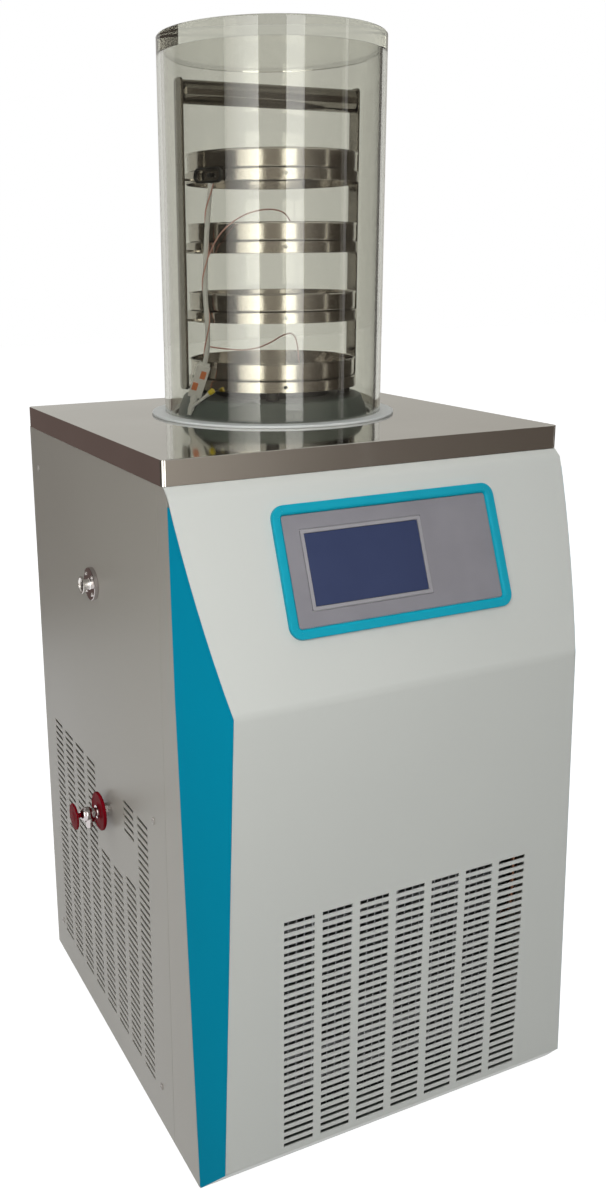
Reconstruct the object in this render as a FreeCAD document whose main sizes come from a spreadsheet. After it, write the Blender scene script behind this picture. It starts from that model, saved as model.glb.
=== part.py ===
import FreeCAD, Part
import math
import os

import Sketcher
from FreeCAD import Placement, Rotation, Vector

# Bench-top freeze dryer: a sheet-steel cabinet on four feet, a folded steel top over the cold trap,
# and a clear bell jar with a rack of four trays. Millimetres, +Z up. Sub-parts are laid out about
# the middle of the steel top; the one shift in finish() then puts the origin on the floor under the
# middle of the whole machine, fittings included.

os.makedirs("parts", exist_ok=True)
doc = FreeCAD.newDocument("FreezeDryer")
sheet = doc.addObject("Spreadsheet::Sheet", "Dims")

DIMENSIONS = [
    # Steel top and cabinet shell
    ("slab_wide", 480, "steel top, left to right"),
    ("slab_deep", 464, "steel top, front to back"),
    ("slab_top", 806, "height of the steel top"),
    ("slab_rim", 26, "height of its folded rim"),
    ("slab_sheet", 1.5, "its sheet"),
    ("steel", 1.2, "sheet of the painted panels"),
    ("back_out", 4, "back panel, out beyond the steel top"),
    ("seam_back", 20, "seam of the side panels, behind the front of the steel top"),
    ("seam_gap", 0.5, "gap at panel seams"),
    ("shell_base", 12, "lower edge of the panels"),
    ("under_gap", 0.4, "gap under the rim of the steel top"),
    # Profile of the front, seen from the side
    ("shoulder_out", 9, "top of the slanted face, out beyond the steel top"),
    ("shoulder_drop", 8, "its height below the rim of the steel top"),
    ("fold_out", 88, "the upright lower face, out beyond the steel top"),
    ("fold_high", 568, "height of the fold between the two faces"),
    ("toe_out", 52.5, "bottom edge of the front, out beyond the steel top"),
    ("toe_high", 52.5, "where the toe bevel starts"),
    # Outline of the front and the corner facets
    ("fold_inset", 30.5, "edge of the front at the fold, in from the side panel"),
    ("toe_inset", 14.5, "edge of the front at the toe bevel, in from the side panel"),
    ("facet_bulge", 3.5, "bow of the upper facet edge"),
    ("cheek_top_out", 8, "front edge of the cheek near its top, out beyond the steel top"),
    ("cheek_fold_out", 15.5, "the same at the height of the fold"),
    ("edge_gap", 0.3, "gap along the facet edges"),
    # Grille and louvres
    ("slot_pitch", 9, "slot rows, centre to centre"),
    ("grille_slot", 36, "width of a grille slot"),
    ("grille_pitch", 45.4, "grille columns, centre to centre"),
    ("grille_open", 4.5, "height of a grille slot"),
    ("grille_top", 332.8, "height of the top grille row"),
    ("louvre_slot", 32, "width of a louvre"),
    ("louvre_pitch", 45, "louvre columns, centre to centre"),
    ("louvre_open", 4, "height of a louvre"),
    ("louvre_top", 382, "height of the top louvre row"),
    ("louvre_back", 61, "rearmost louvre column, in from the back panel"),
    ("bare_by_valve", 66, "bare sheet above and below the drain valve"),
    ("bare_low", 285, "lower edge of the second bare place"),
    ("bare_high", 340, "its upper edge"),
    # Control panel on the slanted face
    ("display_lift", 20, "control panel, above the middle of the slanted face"),
    ("display_wide", 269, "display frame, width"),
    ("display_tall", 135, "display frame, along the slope"),
    ("display_band", 10.5, "width of its band"),
    ("display_proud", 5, "how far it stands out"),
    ("display_round", 14, "its corner radius"),
    ("overlay_thick", 2, "overlay plate"),
    ("screen_wide", 135, "touch screen, width"),
    ("screen_tall", 74, "touch screen, along the slope"),
    ("screen_side", 34, "its middle, left of the panel's middle"),
    ("screen_band", 4, "border round the touch screen"),
    ("fit_gap", 0.3, "clearance of pieces that drop into a hole"),
    ("control_deep", 42, "control box behind the panel"),
    # Bell jar, seal and trap, about the jar's axis
    ("jar_side", 14.7, "jar axis, to the right of the middle"),
    ("jar_back", 31.6, "jar axis, behind the middle"),
    ("jar_radius", 133, "bell jar, outside"),
    ("jar_wall", 8, "its wall"),
    ("jar_lid", 20, "its flat top"),
    ("jar_high", 430, "its top above the steel top"),
    ("seal_radius", 149, "flat seal, outside"),
    ("seal_wide", 28.5, "seal, width of the ring"),
    ("seal_thick", 3, "seal, thickness"),
    ("trap_radius", 97, "cold trap, inside"),
    ("trap_wall", 1.5, "its wall"),
    ("trap_deep", 260, "its depth under the steel top"),
    ("trap_flange", 14, "flange round its mouth"),
    ("coil_tube", 4.8, "evaporator tube, radius"),
    ("coil_pitch", 13, "evaporator turns, centre to centre"),
    ("coil_gap", 0.3, "clearance of the coil round the pot"),
    ("foam_wall", 26, "insulation, wall and base"),
    # Drying rack, heights above the steel top
    ("base_radius", 117, "foot ring of the rack"),
    ("ring_taper", 7, "how much smaller it is at the top"),
    ("ring_edge", 3, "its cut edges"),
    ("base_high", 24, "its height"),
    ("base_bore", 70, "opening in it for the vapour"),
    ("shelf_first", 34.5, "lower edge of the first shelf"),
    ("shelf_pitch", 78, "shelves, centre to centre"),
    ("shelf_radius", 103, "shelf rim"),
    ("shelf_rim", 12.5, "height of a shelf's rim"),
    ("rack_sheet", 1.5, "sheet of shelves and trays"),
    ("shelf_hole", 2.2, "hole in a shelf's rim, radius"),
    ("shelf_hole_side", 33, "its place, left of the jar axis"),
    ("tray_radius", 100, "tray, outside"),
    ("tray_high", 21, "tray height"),
    ("leg_out", 115, "middle of a leg from the jar axis"),
    ("leg_wide", 20, "leg, front to back"),
    ("leg_thick", 3, "leg, sheet"),
    ("leg_top", 380, "top of the legs"),
    ("handle_radius", 13, "carrying handle"),
    ("handle_drop", 1.5, "its upper side, below the top of the legs"),
    ("standoff_radius", 7.5, "posts under the first shelf"),
    ("standoff_turn", 63, "first post, turned from the right"),
    # Side fittings, reach measured outwards from the side panel
    ("port_side", -4, "vacuum port, place along the side"),
    ("port_high", 626, "its height"),
    ("port_flange", 19.5, "its flange, radius"),
    ("port_plate", 5.5, "its flange, thickness"),
    ("port_pipe", 6, "its neck, radius"),
    ("port_lip", 10, "its end lip, radius"),
    ("port_reach", 15.5, "its end face"),
    ("port_bore", 4, "its bore, radius"),
    ("pipe_bore", 4.5, "vacuum pipe behind it, bore radius"),
    ("drain_side", -18, "drain valve, place along the side"),
    ("drain_high", 343, "its height"),
    ("drain_pipe", 5, "drain pipe, radius"),
    ("drain_bore", 3.5, "drain pipe, bore radius"),
    ("drain_nut", 8, "nut on the panel, radius"),
    ("collar_radius", 23.5, "inner red disc"),
    ("collar_start", 8, "its inner face"),
    ("collar_thick", 4, "its thickness"),
    ("valve_radius", 8.5, "valve body"),
    ("valve_end", 34, "outer face of the valve body"),
    ("spout_radius", 4, "its hose spout"),
    ("spout_bore", 2.5, "its bore, radius"),
    ("spout_collar", 6.5, "shoulder over the spout, radius"),
    ("spout_start", 10, "face of the shoulder, under the valve's axis"),
    ("spout_long", 8, "spout under the shoulder"),
    ("knob_radius", 16, "red knob"),
    ("knob_thick", 3.5, "its thickness"),
    ("knob_reach", 43.5, "its outer face"),
    ("stem_radius", 3, "valve stem"),
    ("stem_gap", 0.05, "running clearance of the stem"),
    # Base, feet and frame
    ("foot_radius", 18, "rubber foot"),
    ("foot_in", 48.5, "feet, in from the side panels"),
    ("foot_front_in", 49.5, "front feet, in from the bottom edge of the front"),
    ("foot_back_in", 46, "rear feet, in from the back panel"),
    ("base_sheet", 2, "base plate"),
    ("base_edge", 18, "height of its upturned edges"),
    ("base_in", 2.5, "base plate, in from the bottom edge of the front"),
    ("post_size", 20, "square posts of the frame"),
    ("post_in", 27, "front posts, in from the front of the steel top"),
    # Cooling parts
    ("condenser_half", 150, "condenser, half width"),
    ("condenser_in", 1, "its front, in from the front edge of the base plate"),
    ("condenser_deep", 42, "its depth"),
    ("condenser_top", 340, "its top"),
    ("fin_low", 60, "lower edge of its fins"),
    ("fan_high", 200, "fan axis"),
    ("fan_radius", 112, "fan blades"),
    ("fan_gap", 4, "gap between blades and shroud"),
    ("fan_hub", 24, "fan hub, radius"),
    ("shroud_deep", 34, "shroud ring"),
    ("motor_radius", 36, "fan motor"),
    ("motor_long", 60, "its length"),
    ("shaft_radius", 4, "its shaft"),
    ("compressor_radius", 78, "compressor shell"),
    ("compressor_high", 190, "its height"),
    ("compressor_side", 40, "its place, left to right"),
    ("compressor_back", 75, "its place, front to back"),
    ("mount_high", 14, "rubber mount"),
    ("mount_radius", 12, "rubber mount, radius"),
    ("line_radius", 4, "copper lines"),
    ("drier_radius", 14, "filter drier"),
    # Electrics
    ("power_side", 150, "mains box, middle, left to right"),
    ("power_high", 150, "its middle height"),
    ("inlet_wide", 48, "mains inlet flange"),
    ("inlet_tall", 28, "its height"),
    ("inlet_proud", 5, "how far it stands out"),
    ("switch_wide", 22, "power switch flange"),
    ("switch_tall", 32, "its height"),
    ("rocker_tilt", 8, "half the travel of the rocker"),
    # Sensor leads
    ("bundle_radius", 2.75, "bundle of leads"),
    ("lead_radius", 0.8, "single lead"),
    ("tail_radius", 2, "wires below the plug"),
    ("plug_radius", 5, "plug at the end of the bundle"),
    ("clip_thick", 6.5, "clip on the top shelf"),
    ("clip_high", 17, "its height"),
    ("clip_drop", 2.5, "how far it hangs below the shelf"),
    # Small things
    ("screw_radius", 4, "head of a panel screw"),
    ("screw_thick", 1.4, "its height"),
    ("screw_shank", 1.9, "shank of a panel screw"),
]

for row, (alias, number, note) in enumerate(DIMENSIONS, start=1):
    sheet.set(f"A{row}", str(number))
    sheet.setAlias(f"A{row}", alias)
    sheet.set(f"B{row}", note)
doc.recompute()


class Size:
    """A length of the sheet, or a sum made of them: its number now, and the formula that is kept."""

    def __init__(self, number, formula):
        self.number = float(number)
        self.formula = formula

    def __float__(self):
        return self.number

    def __add__(self, other):
        other = size(other)
        return Size(self.number + other.number, f"({self.formula} + {other.formula})")

    def __sub__(self, other):
        other = size(other)
        return Size(self.number - other.number, f"({self.formula} - {other.formula})")

    def __mul__(self, other):
        other = size(other)
        return Size(self.number * other.number, f"({self.formula} * {other.formula})")

    def __truediv__(self, other):
        other = size(other)
        return Size(self.number / other.number, f"({self.formula} / {other.formula})")

    def __neg__(self):
        return Size(-self.number, f"(0 - {self.formula})")

    def __radd__(self, other):
        return size(other) + self

    def __rsub__(self, other):
        return size(other) - self

    def __rmul__(self, other):
        return size(other) * self


def size(value):
    """A plain number as a Size; a Size stays as it is."""
    if isinstance(value, Size):
        return value
    return Size(value, f"({float(value):.6f})")


class Sheet:
    """The cells of the sheet as sizes: d.slab_wide and so on."""


d = Sheet()
for alias, number, note in DIMENSIONS:
    setattr(d, alias, Size(number, f"Dims.{alias}"))

# Places that several sub-parts share, worked out from the steel top.
top_front = d.slab_deep / 2
d.panel_half = d.slab_wide / 2 - d.slab_sheet
d.back_face = top_front + d.back_out
d.seam_front = top_front - d.seam_back
d.shoulder_front = top_front + d.shoulder_out
d.shoulder_high = d.slab_top - d.slab_rim - d.shoulder_drop
d.fold_front = top_front + d.fold_out
d.toe_front = top_front + d.toe_out
d.fold_half = d.panel_half - d.fold_inset
d.toe_half = d.panel_half - d.toe_inset
d.cheek_top = top_front + d.cheek_top_out
d.cheek_fold = top_front + d.cheek_fold_out
d.display_high = (d.shoulder_high + d.fold_high) / 2 + d.display_lift
d.jar_top = d.slab_top + d.jar_high
d.base_front = d.toe_front - d.base_in
d.post_front = top_front - d.post_in
d.condenser_front = d.base_front - d.condenser_in
shift_x = (d.panel_half + d.knob_reach - d.slab_wide / 2) / 2
shift_y = (d.fold_front - d.back_face - d.inlet_proud) / 2
rim_low = d.slab_top - d.slab_rim
shell_top = rim_low - d.under_gap
inner_half = d.panel_half - d.steel
tray_top = d.shell_base + d.base_sheet
nodes = []
places = {}


# ---------------------------------------------------------------- helpers

def place(thing, x=0, y=0, z=0, axis=None, angle=0):
    """Put an object at a place made of sizes, turned about one axis."""
    turn = Rotation(axis, float(angle)) if axis else Rotation()
    thing.Placement = Placement(Vector(float(size(x)), float(size(y)), float(size(z))), turn)
    if isinstance(angle, Size):
        thing.setExpression("Placement.Rotation.Angle", angle.formula)
    for letter, value in zip("xyz", (x, y, z)):
        thing.setExpression(f"Placement.Base.{letter}", size(value).formula)
    places[thing.Name] = (size(x), size(y), size(z))
    return thing


def bind(thing, **sizes):
    """Tie properties of an object to sizes."""
    for name, value in sizes.items():
        thing.setExpression(name, size(value).formula)
    return thing


def finish(thing, node):
    """Name a finished sub-part and move it from the cabinet's middle to the machine's origin."""
    thing.Label = node
    x, y, z = places.get(thing.Name, (size(0), size(0), size(0)))
    for letter, value in zip("xyz", (x + shift_x, y + shift_y, z)):
        thing.setExpression(f"Placement.Base.{letter}", value.formula)
    nodes.append((node, thing))
    return thing


def box(name, low, long, wide, high):
    """A block from its lowest corner."""
    thing = doc.addObject("Part::Box", name)
    bind(thing, Length=long, Width=wide, Height=high)
    return place(thing, *low)


AXES = {"z": (None, 0), "x": (Vector(0, 1, 0), 90), "-x": (Vector(0, 1, 0), -90),
        "y": (Vector(1, 0, 0), -90), "-y": (Vector(1, 0, 0), 90)}


def rod(name, start, direction, radius, length):
    """A round bar that starts at a point and runs along an axis."""
    thing = doc.addObject("Part::Cylinder", name)
    bind(thing, Radius=radius, Height=length)
    axis, angle = AXES[direction]
    return place(thing, *start, axis, angle)


def fuse(name, shapes):
    thing = doc.addObject("Part::MultiFuse", name)
    thing.Shapes = shapes
    return thing


def cut(name, base, tools):
    thing = doc.addObject("Part::Cut", name)
    thing.Base = base
    thing.Tool = tools[0] if len(tools) == 1 else fuse(name + "_tools", tools)
    return thing


def feature(name, shape):
    """A shape made with Part's own functions."""
    thing = doc.addObject("Part::Feature", name)
    thing.Shape = shape
    return thing


def slot_block(name, places_of_slots, long, wide, high):
    """Many equal blocks as one cutting tool, each given by its middle."""
    half = Vector(float(long), float(wide), float(high)) * 0.5
    blocks = []
    for middle in places_of_slots:
        blocks.append(Part.makeBox(2 * half.x, 2 * half.y, 2 * half.z, Vector(*middle) - half))
    return feature(name, Part.makeCompound(blocks))


def body(name):
    return doc.addObject("PartDesign::Body", name)


def sketch(owner, role, corners=(), circles=(), more=()):
    """Closed outlines on one of the body's own planes, every corner held by two sizes."""
    drawing = owner.newObject("Sketcher::SketchObject", owner.Name + "_sketch")
    plane = [f for f in owner.Origin.OriginFeatures if f.Role == role][0]
    drawing.AttachmentSupport = [(plane, "")]
    drawing.MapMode = "FlatFace"
    for outline in (corners,) + tuple(more):
        if not outline:
            continue
        points = [Vector(float(size(a)), float(size(b)), 0) for a, b in outline]
        first = drawing.GeometryCount
        count = len(points)
        for i in range(count):
            drawing.addGeometry(Part.LineSegment(points[i], points[(i + 1) % count]), False)
        for i in range(count):
            line = first + i
            following = first + (i + 1) % count
            drawing.addConstraint(Sketcher.Constraint("Coincident", line, 2, following, 1))
            for kind, value in zip(("DistanceX", "DistanceY"), outline[i]):
                hold(drawing, kind, line, 1, size(value))
    for (a, b), radius in circles:
        index = drawing.addGeometry(Part.Circle(Vector(float(size(a)), float(size(b)), 0), Vector(0, 0, 1),
                                                float(size(radius))), False)
        hold(drawing, "DistanceX", index, 3, size(a))
        hold(drawing, "DistanceY", index, 3, size(b))
        number = drawing.addConstraint(Sketcher.Constraint("Radius", index, float(size(radius))))
        drawing.setExpression(f"Constraints[{number}]", size(radius).formula)
    return drawing


def hold(drawing, kind, index, end, value):
    """Hold a point of a sketch at a distance from the sketch's origin."""
    number = drawing.addConstraint(Sketcher.Constraint(kind, -1, 1, index, end, float(value)))
    drawing.setExpression(f"Constraints[{number}]", value.formula)


def pad(owner, drawing, length, midplane=False, back=False):
    thing = owner.newObject("PartDesign::Pad", owner.Name + "_pad")
    thing.Profile = drawing
    bind(thing, Length=length)
    thing.Midplane = midplane
    thing.Reversed = back
    drawing.Visibility = False
    return thing


def pocket(owner, drawing, depth=None, back=False):
    """A cut to a depth, or right through both ways."""
    thing = owner.newObject("PartDesign::Pocket", owner.Name + "_pocket")
    thing.Profile = drawing
    if depth is None:
        thing.Type = 1
        thing.Midplane = True
    else:
        bind(thing, Length=depth)
        thing.Reversed = back
    return thing


def turned(name, profile, x=None, y=None, z=0):
    """A body turned about its own upright axis; the profile lists radius and height."""
    owner = body(name)
    drawing = sketch(owner, "XZ_Plane", profile)
    thing = owner.newObject("PartDesign::Revolution", name + "_turn")
    thing.Profile = drawing
    thing.ReferenceAxis = (drawing, ["V_Axis"])
    thing.Angle = 360
    place(owner, d.jar_side if x is None else x, d.jar_back if y is None else y, z)
    return owner


def round_edges(owner, source, radius, wanted):
    """Round the edges of a body's feature that a test picks."""
    doc.recompute()
    names = [f"Edge{i + 1}" for i, edge in enumerate(source.Shape.Edges) if wanted(edge)]
    thing = owner.newObject("PartDesign::Fillet", owner.Name + "_round")
    thing.Base = (source, names)
    bind(thing, Radius=radius)
    return thing


def upright(edge):
    """A straight edge that runs along the body's own Z axis."""
    if len(edge.Vertexes) < 2:
        return False
    run = edge.Vertexes[1].Point - edge.Vertexes[0].Point
    return run.Length > 0.5 and abs(run.z) > 0.999 * run.Length


def route(points, report=None):
    """Straight runs joined by tangent arcs as large as the two runs beside each point allow."""
    points = [Vector(*p) for p in points]
    edges = []
    start = points[0]
    for i in range(1, len(points) - 1):
        before = points[i] - points[i - 1]
        after = points[i + 1] - points[i]
        turn = before.getAngle(after)
        setback = 0.45 * min(before.Length, after.Length)
        radius = setback / math.tan(turn / 2)
        a = points[i] - before.normalize() * setback
        b = points[i] + after.normalize() * setback
        inward = (after - before).normalize()
        middle = points[i] + inward * (radius / math.cos(turn / 2) - radius)
        edges.append(Part.LineSegment(start, a).toShape())
        edges.append(Part.Arc(a, middle, b).toShape())
        if report:
            print(f"{report}: arc radius {radius:.1f}")
        start = b
    edges.append(Part.LineSegment(start, points[-1]).toShape())
    length = sum(edge.Length for edge in edges)
    return Part.Wire(edges), length


def tube(name, points, radius, bore=0, report=None):
    """A round tube or cord along a route; its volume is compared with section times length."""
    path, length = route(points, report)
    heading = Vector(*points[1]) - Vector(*points[0])

    def swept(r):
        ring = Part.Wire(Part.makeCircle(r, Vector(*points[0]), heading))
        return path.makePipeShell([ring], True, False)

    solid = swept(float(radius))
    wanted = math.pi * float(radius) ** 2 * length
    if abs(solid.Volume / wanted - 1) > 0.01:
        raise RuntimeError(f"{name}: volume {solid.Volume:.0f}, expected {wanted:.0f}")
    if bore:
        solid = solid.cut(swept(float(bore)))
    return feature(name, solid)


def numbers(*values):
    """Sizes as plain numbers, for Part's own functions."""
    return tuple(float(size(value)) for value in values)


# ---------------------------------------------------------------- front, cheeks and facets

def front_at(z):
    """How far the front face stands out at a height: slanted, upright, then the toe bevel."""
    if float(z) >= float(d.fold_high):
        rise = (size(z) - d.fold_high) / (d.shoulder_high - d.fold_high)
        return d.fold_front - (d.fold_front - d.shoulder_front) * rise
    if float(z) >= float(d.toe_high):
        return d.fold_front
    return d.toe_front + (d.fold_front - d.toe_front) * (size(z) - d.shell_base) / (d.toe_high - d.shell_base)


def cheek_at(z):
    """Front edge of the cheek at a height."""
    if float(z) >= float(d.fold_high):
        rise = (size(z) - d.fold_high) / (d.shoulder_high - d.fold_high)
        return d.cheek_fold - (d.cheek_fold - d.cheek_top) * rise
    return d.toe_front - (d.toe_front - d.cheek_fold) * (size(z) - d.shell_base) / (d.fold_high - d.shell_base)


UPPER_STEPS = 8


def edge_heights():
    """Heights at which the facet edges have a corner, from the bottom to the top."""
    heights = [d.shell_base, d.toe_high, d.fold_high]
    for i in range(1, UPPER_STEPS):
        heights.append(d.fold_high + (d.shoulder_high - d.fold_high) * i / UPPER_STEPS)
    return heights + [d.shoulder_high]


def half_at(z):
    """Half width of the front at a height."""
    if float(z) >= float(d.fold_high):
        u = (size(z) - d.fold_high) / (d.shoulder_high - d.fold_high)
        chord = d.fold_half + (d.panel_half - d.fold_half) * u
        return chord + d.facet_bulge * 4 * u * (1 - u)
    if float(z) >= float(d.toe_high):
        return d.toe_half + (d.fold_half - d.toe_half) * (size(z) - d.toe_high) / (d.fold_high - d.toe_high)
    return d.panel_half + (d.toe_half - d.panel_half) * (size(z) - d.shell_base) / (d.toe_high - d.shell_base)


def slope_place(thing, side=0, up=0, out=0):
    """Stand a body on the slanted face: its X along the machine, Y up the slope, Z outwards."""
    run = d.fold_front - d.shoulder_front
    rise = d.shoulder_high - d.fold_high
    lean = Size(math.degrees(math.atan2(float(run), float(rise))), f"atan({run.formula} / {rise.formula})")
    cosine = Size(math.cos(math.radians(float(lean))), f"cos({lean.formula})")
    sine = Size(math.sin(math.radians(float(lean))), f"sin({lean.formula})")
    y = -front_at(d.display_high) + size(up) * sine - size(out) * cosine
    z = d.display_high + size(up) * cosine + size(out) * sine
    quarter = Size(90, "90 deg")
    return place(thing, side, y, z, Vector(1, 0, 0), quarter - lean)


def make_front_panel():
    """One sheet with the slanted face, the upright face and the toe bevel, with the grille cut in it."""
    owner = body("front_sheet")
    outer = [(-d.slab_deep / 2, shell_top), (-d.shoulder_front, d.shoulder_high), (-d.fold_front, d.fold_high),
             (-d.fold_front, d.toe_high), (-d.toe_front, d.shell_base)]
    inner = [(y + d.steel * grow, z) for (y, z), grow in zip(reversed(outer), (1.3, 1.0, 1.0, 1.1, 1.5))]
    pad(owner, sketch(owner, "YZ_Plane", outer + inner), d.panel_half * 2, midplane=True)
    trims = []
    for side in (-1, 1):
        edge = [(side * half_at(z), z) for z in edge_heights()]
        beyond = side * (d.panel_half + 5)
        top = [(side * d.panel_half, rim_low + 5), (beyond, rim_low + 5), (beyond, d.shell_base - 5)]
        trims.append(edge + top + [(side * d.panel_half, d.shell_base - 5)])
    pocket(owner, sketch(owner, "XZ_Plane", more=trims))
    window = body("display_window")
    half_wide = d.screen_wide / 2 + d.fit_gap
    half_tall = d.screen_tall / 2 + d.fit_gap
    pad(window, sketch(window, "XY_Plane", rectangle(half_wide, half_tall)), 20, midplane=True)
    slope_place(window, -d.screen_side)
    slots = []
    for column in range(-3, 4):
        for row in range(31):
            slots.append((column * float(d.grille_pitch), -float(d.fold_front),
                          float(d.grille_top) - row * float(d.slot_pitch)))
    grille = slot_block("grille_slots", slots, d.grille_slot, 10, d.grille_open)
    windowed = cut("front_windowed", owner, [window])
    return cut("front_panel_cut", windowed, [grille])


def rectangle(half_wide, half_tall):
    return [(-half_wide, -half_tall), (half_wide, -half_tall), (half_wide, half_tall), (-half_wide, half_tall)]


# How far the pointed ends of a facet stop short of the bottom edge and of the shoulder.
FACET_ENDS = (2.5, 10)


def make_facet(side):
    """The blue corner sheet between the cheek's edge and the front's edge, pointed at both ends."""
    rows = []
    ends = [d.shell_base + FACET_ENDS[0], d.shoulder_high - FACET_ENDS[1]]
    for z in ends[:1] + edge_heights()[1:-1] + ends[1:]:
        half, front, cheek = numbers(half_at(z), front_at(z), cheek_at(z))
        gap, thick, wall = numbers(d.edge_gap, d.steel, d.panel_half)
        outer_front = Vector(side * (half + gap), -front, float(z))
        outer_side = Vector(side * wall, -cheek - gap, float(z))
        inner_front = outer_front + Vector(0, thick * 1.5, 0)
        inner_side = outer_side - Vector(side * thick, 0, 0)
        rows.append((outer_front, outer_side, inner_side, inner_front))
    faces = []

    def triangle(a, b, c):
        faces.append(Part.Face(Part.makePolygon([a, b, c, a])))

    for lower, upper in zip(rows, rows[1:]):
        for i in range(4):
            k = (i + 1) % 4
            triangle(lower[i], lower[k], upper[k])
            triangle(lower[i], upper[k], upper[i])
    for ring in (rows[0], rows[-1]):
        triangle(ring[0], ring[1], ring[3])
        triangle(ring[1], ring[2], ring[3])
    shell = Part.Shell(faces)
    solid = Part.Solid(shell)
    if solid.Volume < 0:
        solid.reverse()
    return feature("facet_sheet_" + ("right" if side > 0 else "left"), solid)


def make_cheek(side):
    """The gray strip of the side in front of the panel seam."""
    owner = body("cheek_sheet_" + ("right" if side > 0 else "left"))
    back = -d.seam_front + d.seam_gap
    outline = [(back - d.seam_gap * 2, d.shell_base), (-d.toe_front + d.steel * 1.7, d.shell_base),
               (-d.toe_front + d.edge_gap * 2, d.shell_base + 3), (-d.cheek_fold, d.fold_high),
               (-d.cheek_top, d.shoulder_high - 7), (-d.shoulder_front + d.steel * 1.5, d.shoulder_high),
               (-d.slab_deep / 2 + d.steel * 1.8, shell_top),
               (back - d.seam_gap * 2, shell_top)]
    pad(owner, sketch(owner, "YZ_Plane", outline), d.steel, back=side > 0)
    return place(owner, side * d.panel_half, 0, 0)


def make_side_panel(side):
    """A removable side panel with folded edges and columns of louvres."""
    name = "side_sheet_" + ("right" if side > 0 else "left")
    low = d.shell_base
    tall = shell_top - low
    fold_low = low + d.base_edge + d.seam_gap
    deep = d.back_face + d.seam_front
    face = inner_half if side > 0 else -d.panel_half
    fold = inner_half - 11 if side > 0 else -inner_half
    plate = box(name + "_plate", (face, -d.seam_front, low), d.steel, deep, tall)
    edge = box(name + "_front_fold", (fold, -d.seam_front, fold_low), 11, d.steel, shell_top - fold_low)
    sheet_metal = fuse(name, [plate, edge])
    valve_gap = side < 0
    slots = []
    valve_low, valve_top = float(d.drain_high - d.bare_by_valve), float(d.drain_high + d.bare_by_valve)
    for column in range(8):
        y = float(d.back_face - d.louvre_back) - column * float(d.louvre_pitch)
        for row in range(37):
            z = float(d.louvre_top) - row * float(d.slot_pitch)
            plain_valve = valve_gap and column in (4, 5) and valve_low < z < valve_top
            plain_label = valve_gap and column in (5, 6) and float(d.bare_low) < z < float(d.bare_high)
            if not (plain_valve or plain_label):
                slots.append((side * float(d.panel_half), y, z))
    tools = [slot_block(name + "_slots", slots, 8, d.louvre_slot, d.louvre_open)]
    if side < 0:
        holes = [rod(name + "_port_hole", (-d.panel_half - 5, d.port_side, d.port_high), "x",
                     d.port_pipe + d.fit_gap, 20),
                 rod(name + "_drain_hole", (-d.panel_half - 5, d.drain_side, d.drain_high), "x",
                     d.drain_pipe + d.fit_gap, 20)]
        sheet_metal = cut(name + "_drilled", sheet_metal, holes)
    return cut(name + "_louvred", sheet_metal, tools)


def make_back_panel():
    """The back sheet, with air slots and cut-outs for the mains inlet and the switch."""
    half = inner_half - d.seam_gap
    plate = box("back_plate", (-half, d.back_face - d.steel, d.shell_base), half * 2, d.steel,
                shell_top - d.shell_base)
    slots = []
    for column in range(-2, 3):
        for row in range(14):
            slots.append((column * 50, float(d.back_face), 640 - row * float(d.slot_pitch) * 2))
    tools = [slot_block("back_slots", slots, d.louvre_slot, 10, d.louvre_open)]
    inlet_z, switch_z = socket_heights()
    inlet_wide, inlet_tall = d.inlet_wide / 2 - 8, d.inlet_tall / 2 - 3
    switch_wide, switch_tall = d.switch_wide / 2 - 3, d.switch_tall / 2 - 3
    openings = [box("inlet_hole", (d.power_side - inlet_wide, d.back_face - 5, inlet_z - inlet_tall),
                    inlet_wide * 2, 10, inlet_tall * 2),
                box("switch_hole", (d.power_side - switch_wide, d.back_face - 5, switch_z - switch_tall),
                    switch_wide * 2, 10, switch_tall * 2)]
    return cut("back_louvred", cut("back_holed", plate, openings), tools)


def socket_heights():
    """Heights of the mains inlet and of the power switch above it."""
    return d.power_high - 25, d.power_high + 25


def make_top():
    """Folded steel top: a flat face with the trap's mouth, and a rim turned down all round."""
    owner = body("steel_top")
    outer = rectangle(d.slab_wide / 2, d.slab_deep / 2)
    block = pad(owner, sketch(owner, "XY_Plane", outer), d.slab_rim, back=True)
    rounded = round_edges(owner, block, 3, upright)
    doc.recompute()
    hollow = sketch(owner, "XY_Plane", rectangle(d.slab_wide / 2 - d.slab_sheet, d.slab_deep / 2 - d.slab_sheet))
    hollow.AttachmentOffset = Placement(Vector(0, 0, -float(d.slab_rim)), Rotation())
    hollow.setExpression("AttachmentOffset.Base.z", (-d.slab_rim).formula)
    pocket(owner, hollow, d.slab_rim - d.slab_sheet, back=True)
    pocket(owner, sketch(owner, "XY_Plane", circles=[((d.jar_side, d.jar_back), d.trap_radius)]))
    round_edges(owner, owner.Tip, 0.8, lambda e: outer_top_edge(e))
    return place(owner, 0, 0, d.slab_top)


def outer_top_edge(edge):
    """An edge of the outer border of the top face."""
    limits = edge.BoundBox
    flat = abs(limits.ZMax) < 0.01 and abs(limits.ZMin) < 0.01
    reach = max(abs(limits.XMax), abs(limits.XMin)) > float(d.slab_wide) / 2 - 4
    deep = max(abs(limits.YMax), abs(limits.YMin)) > float(d.slab_deep) / 2 - 4
    return flat and (reach or deep)


finish(make_top(), "steel_top_plate")
finish(make_front_panel(), "front_panel")
for side, word in ((-1, "left"), (1, "right")):
    finish(make_facet(side), word + "_corner_facet")
    finish(make_cheek(side), word + "_cheek")
    finish(make_side_panel(side), word + "_side_panel")
finish(make_back_panel(), "back_panel")


# ---------------------------------------------------------------- control panel on the slanted face

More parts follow.
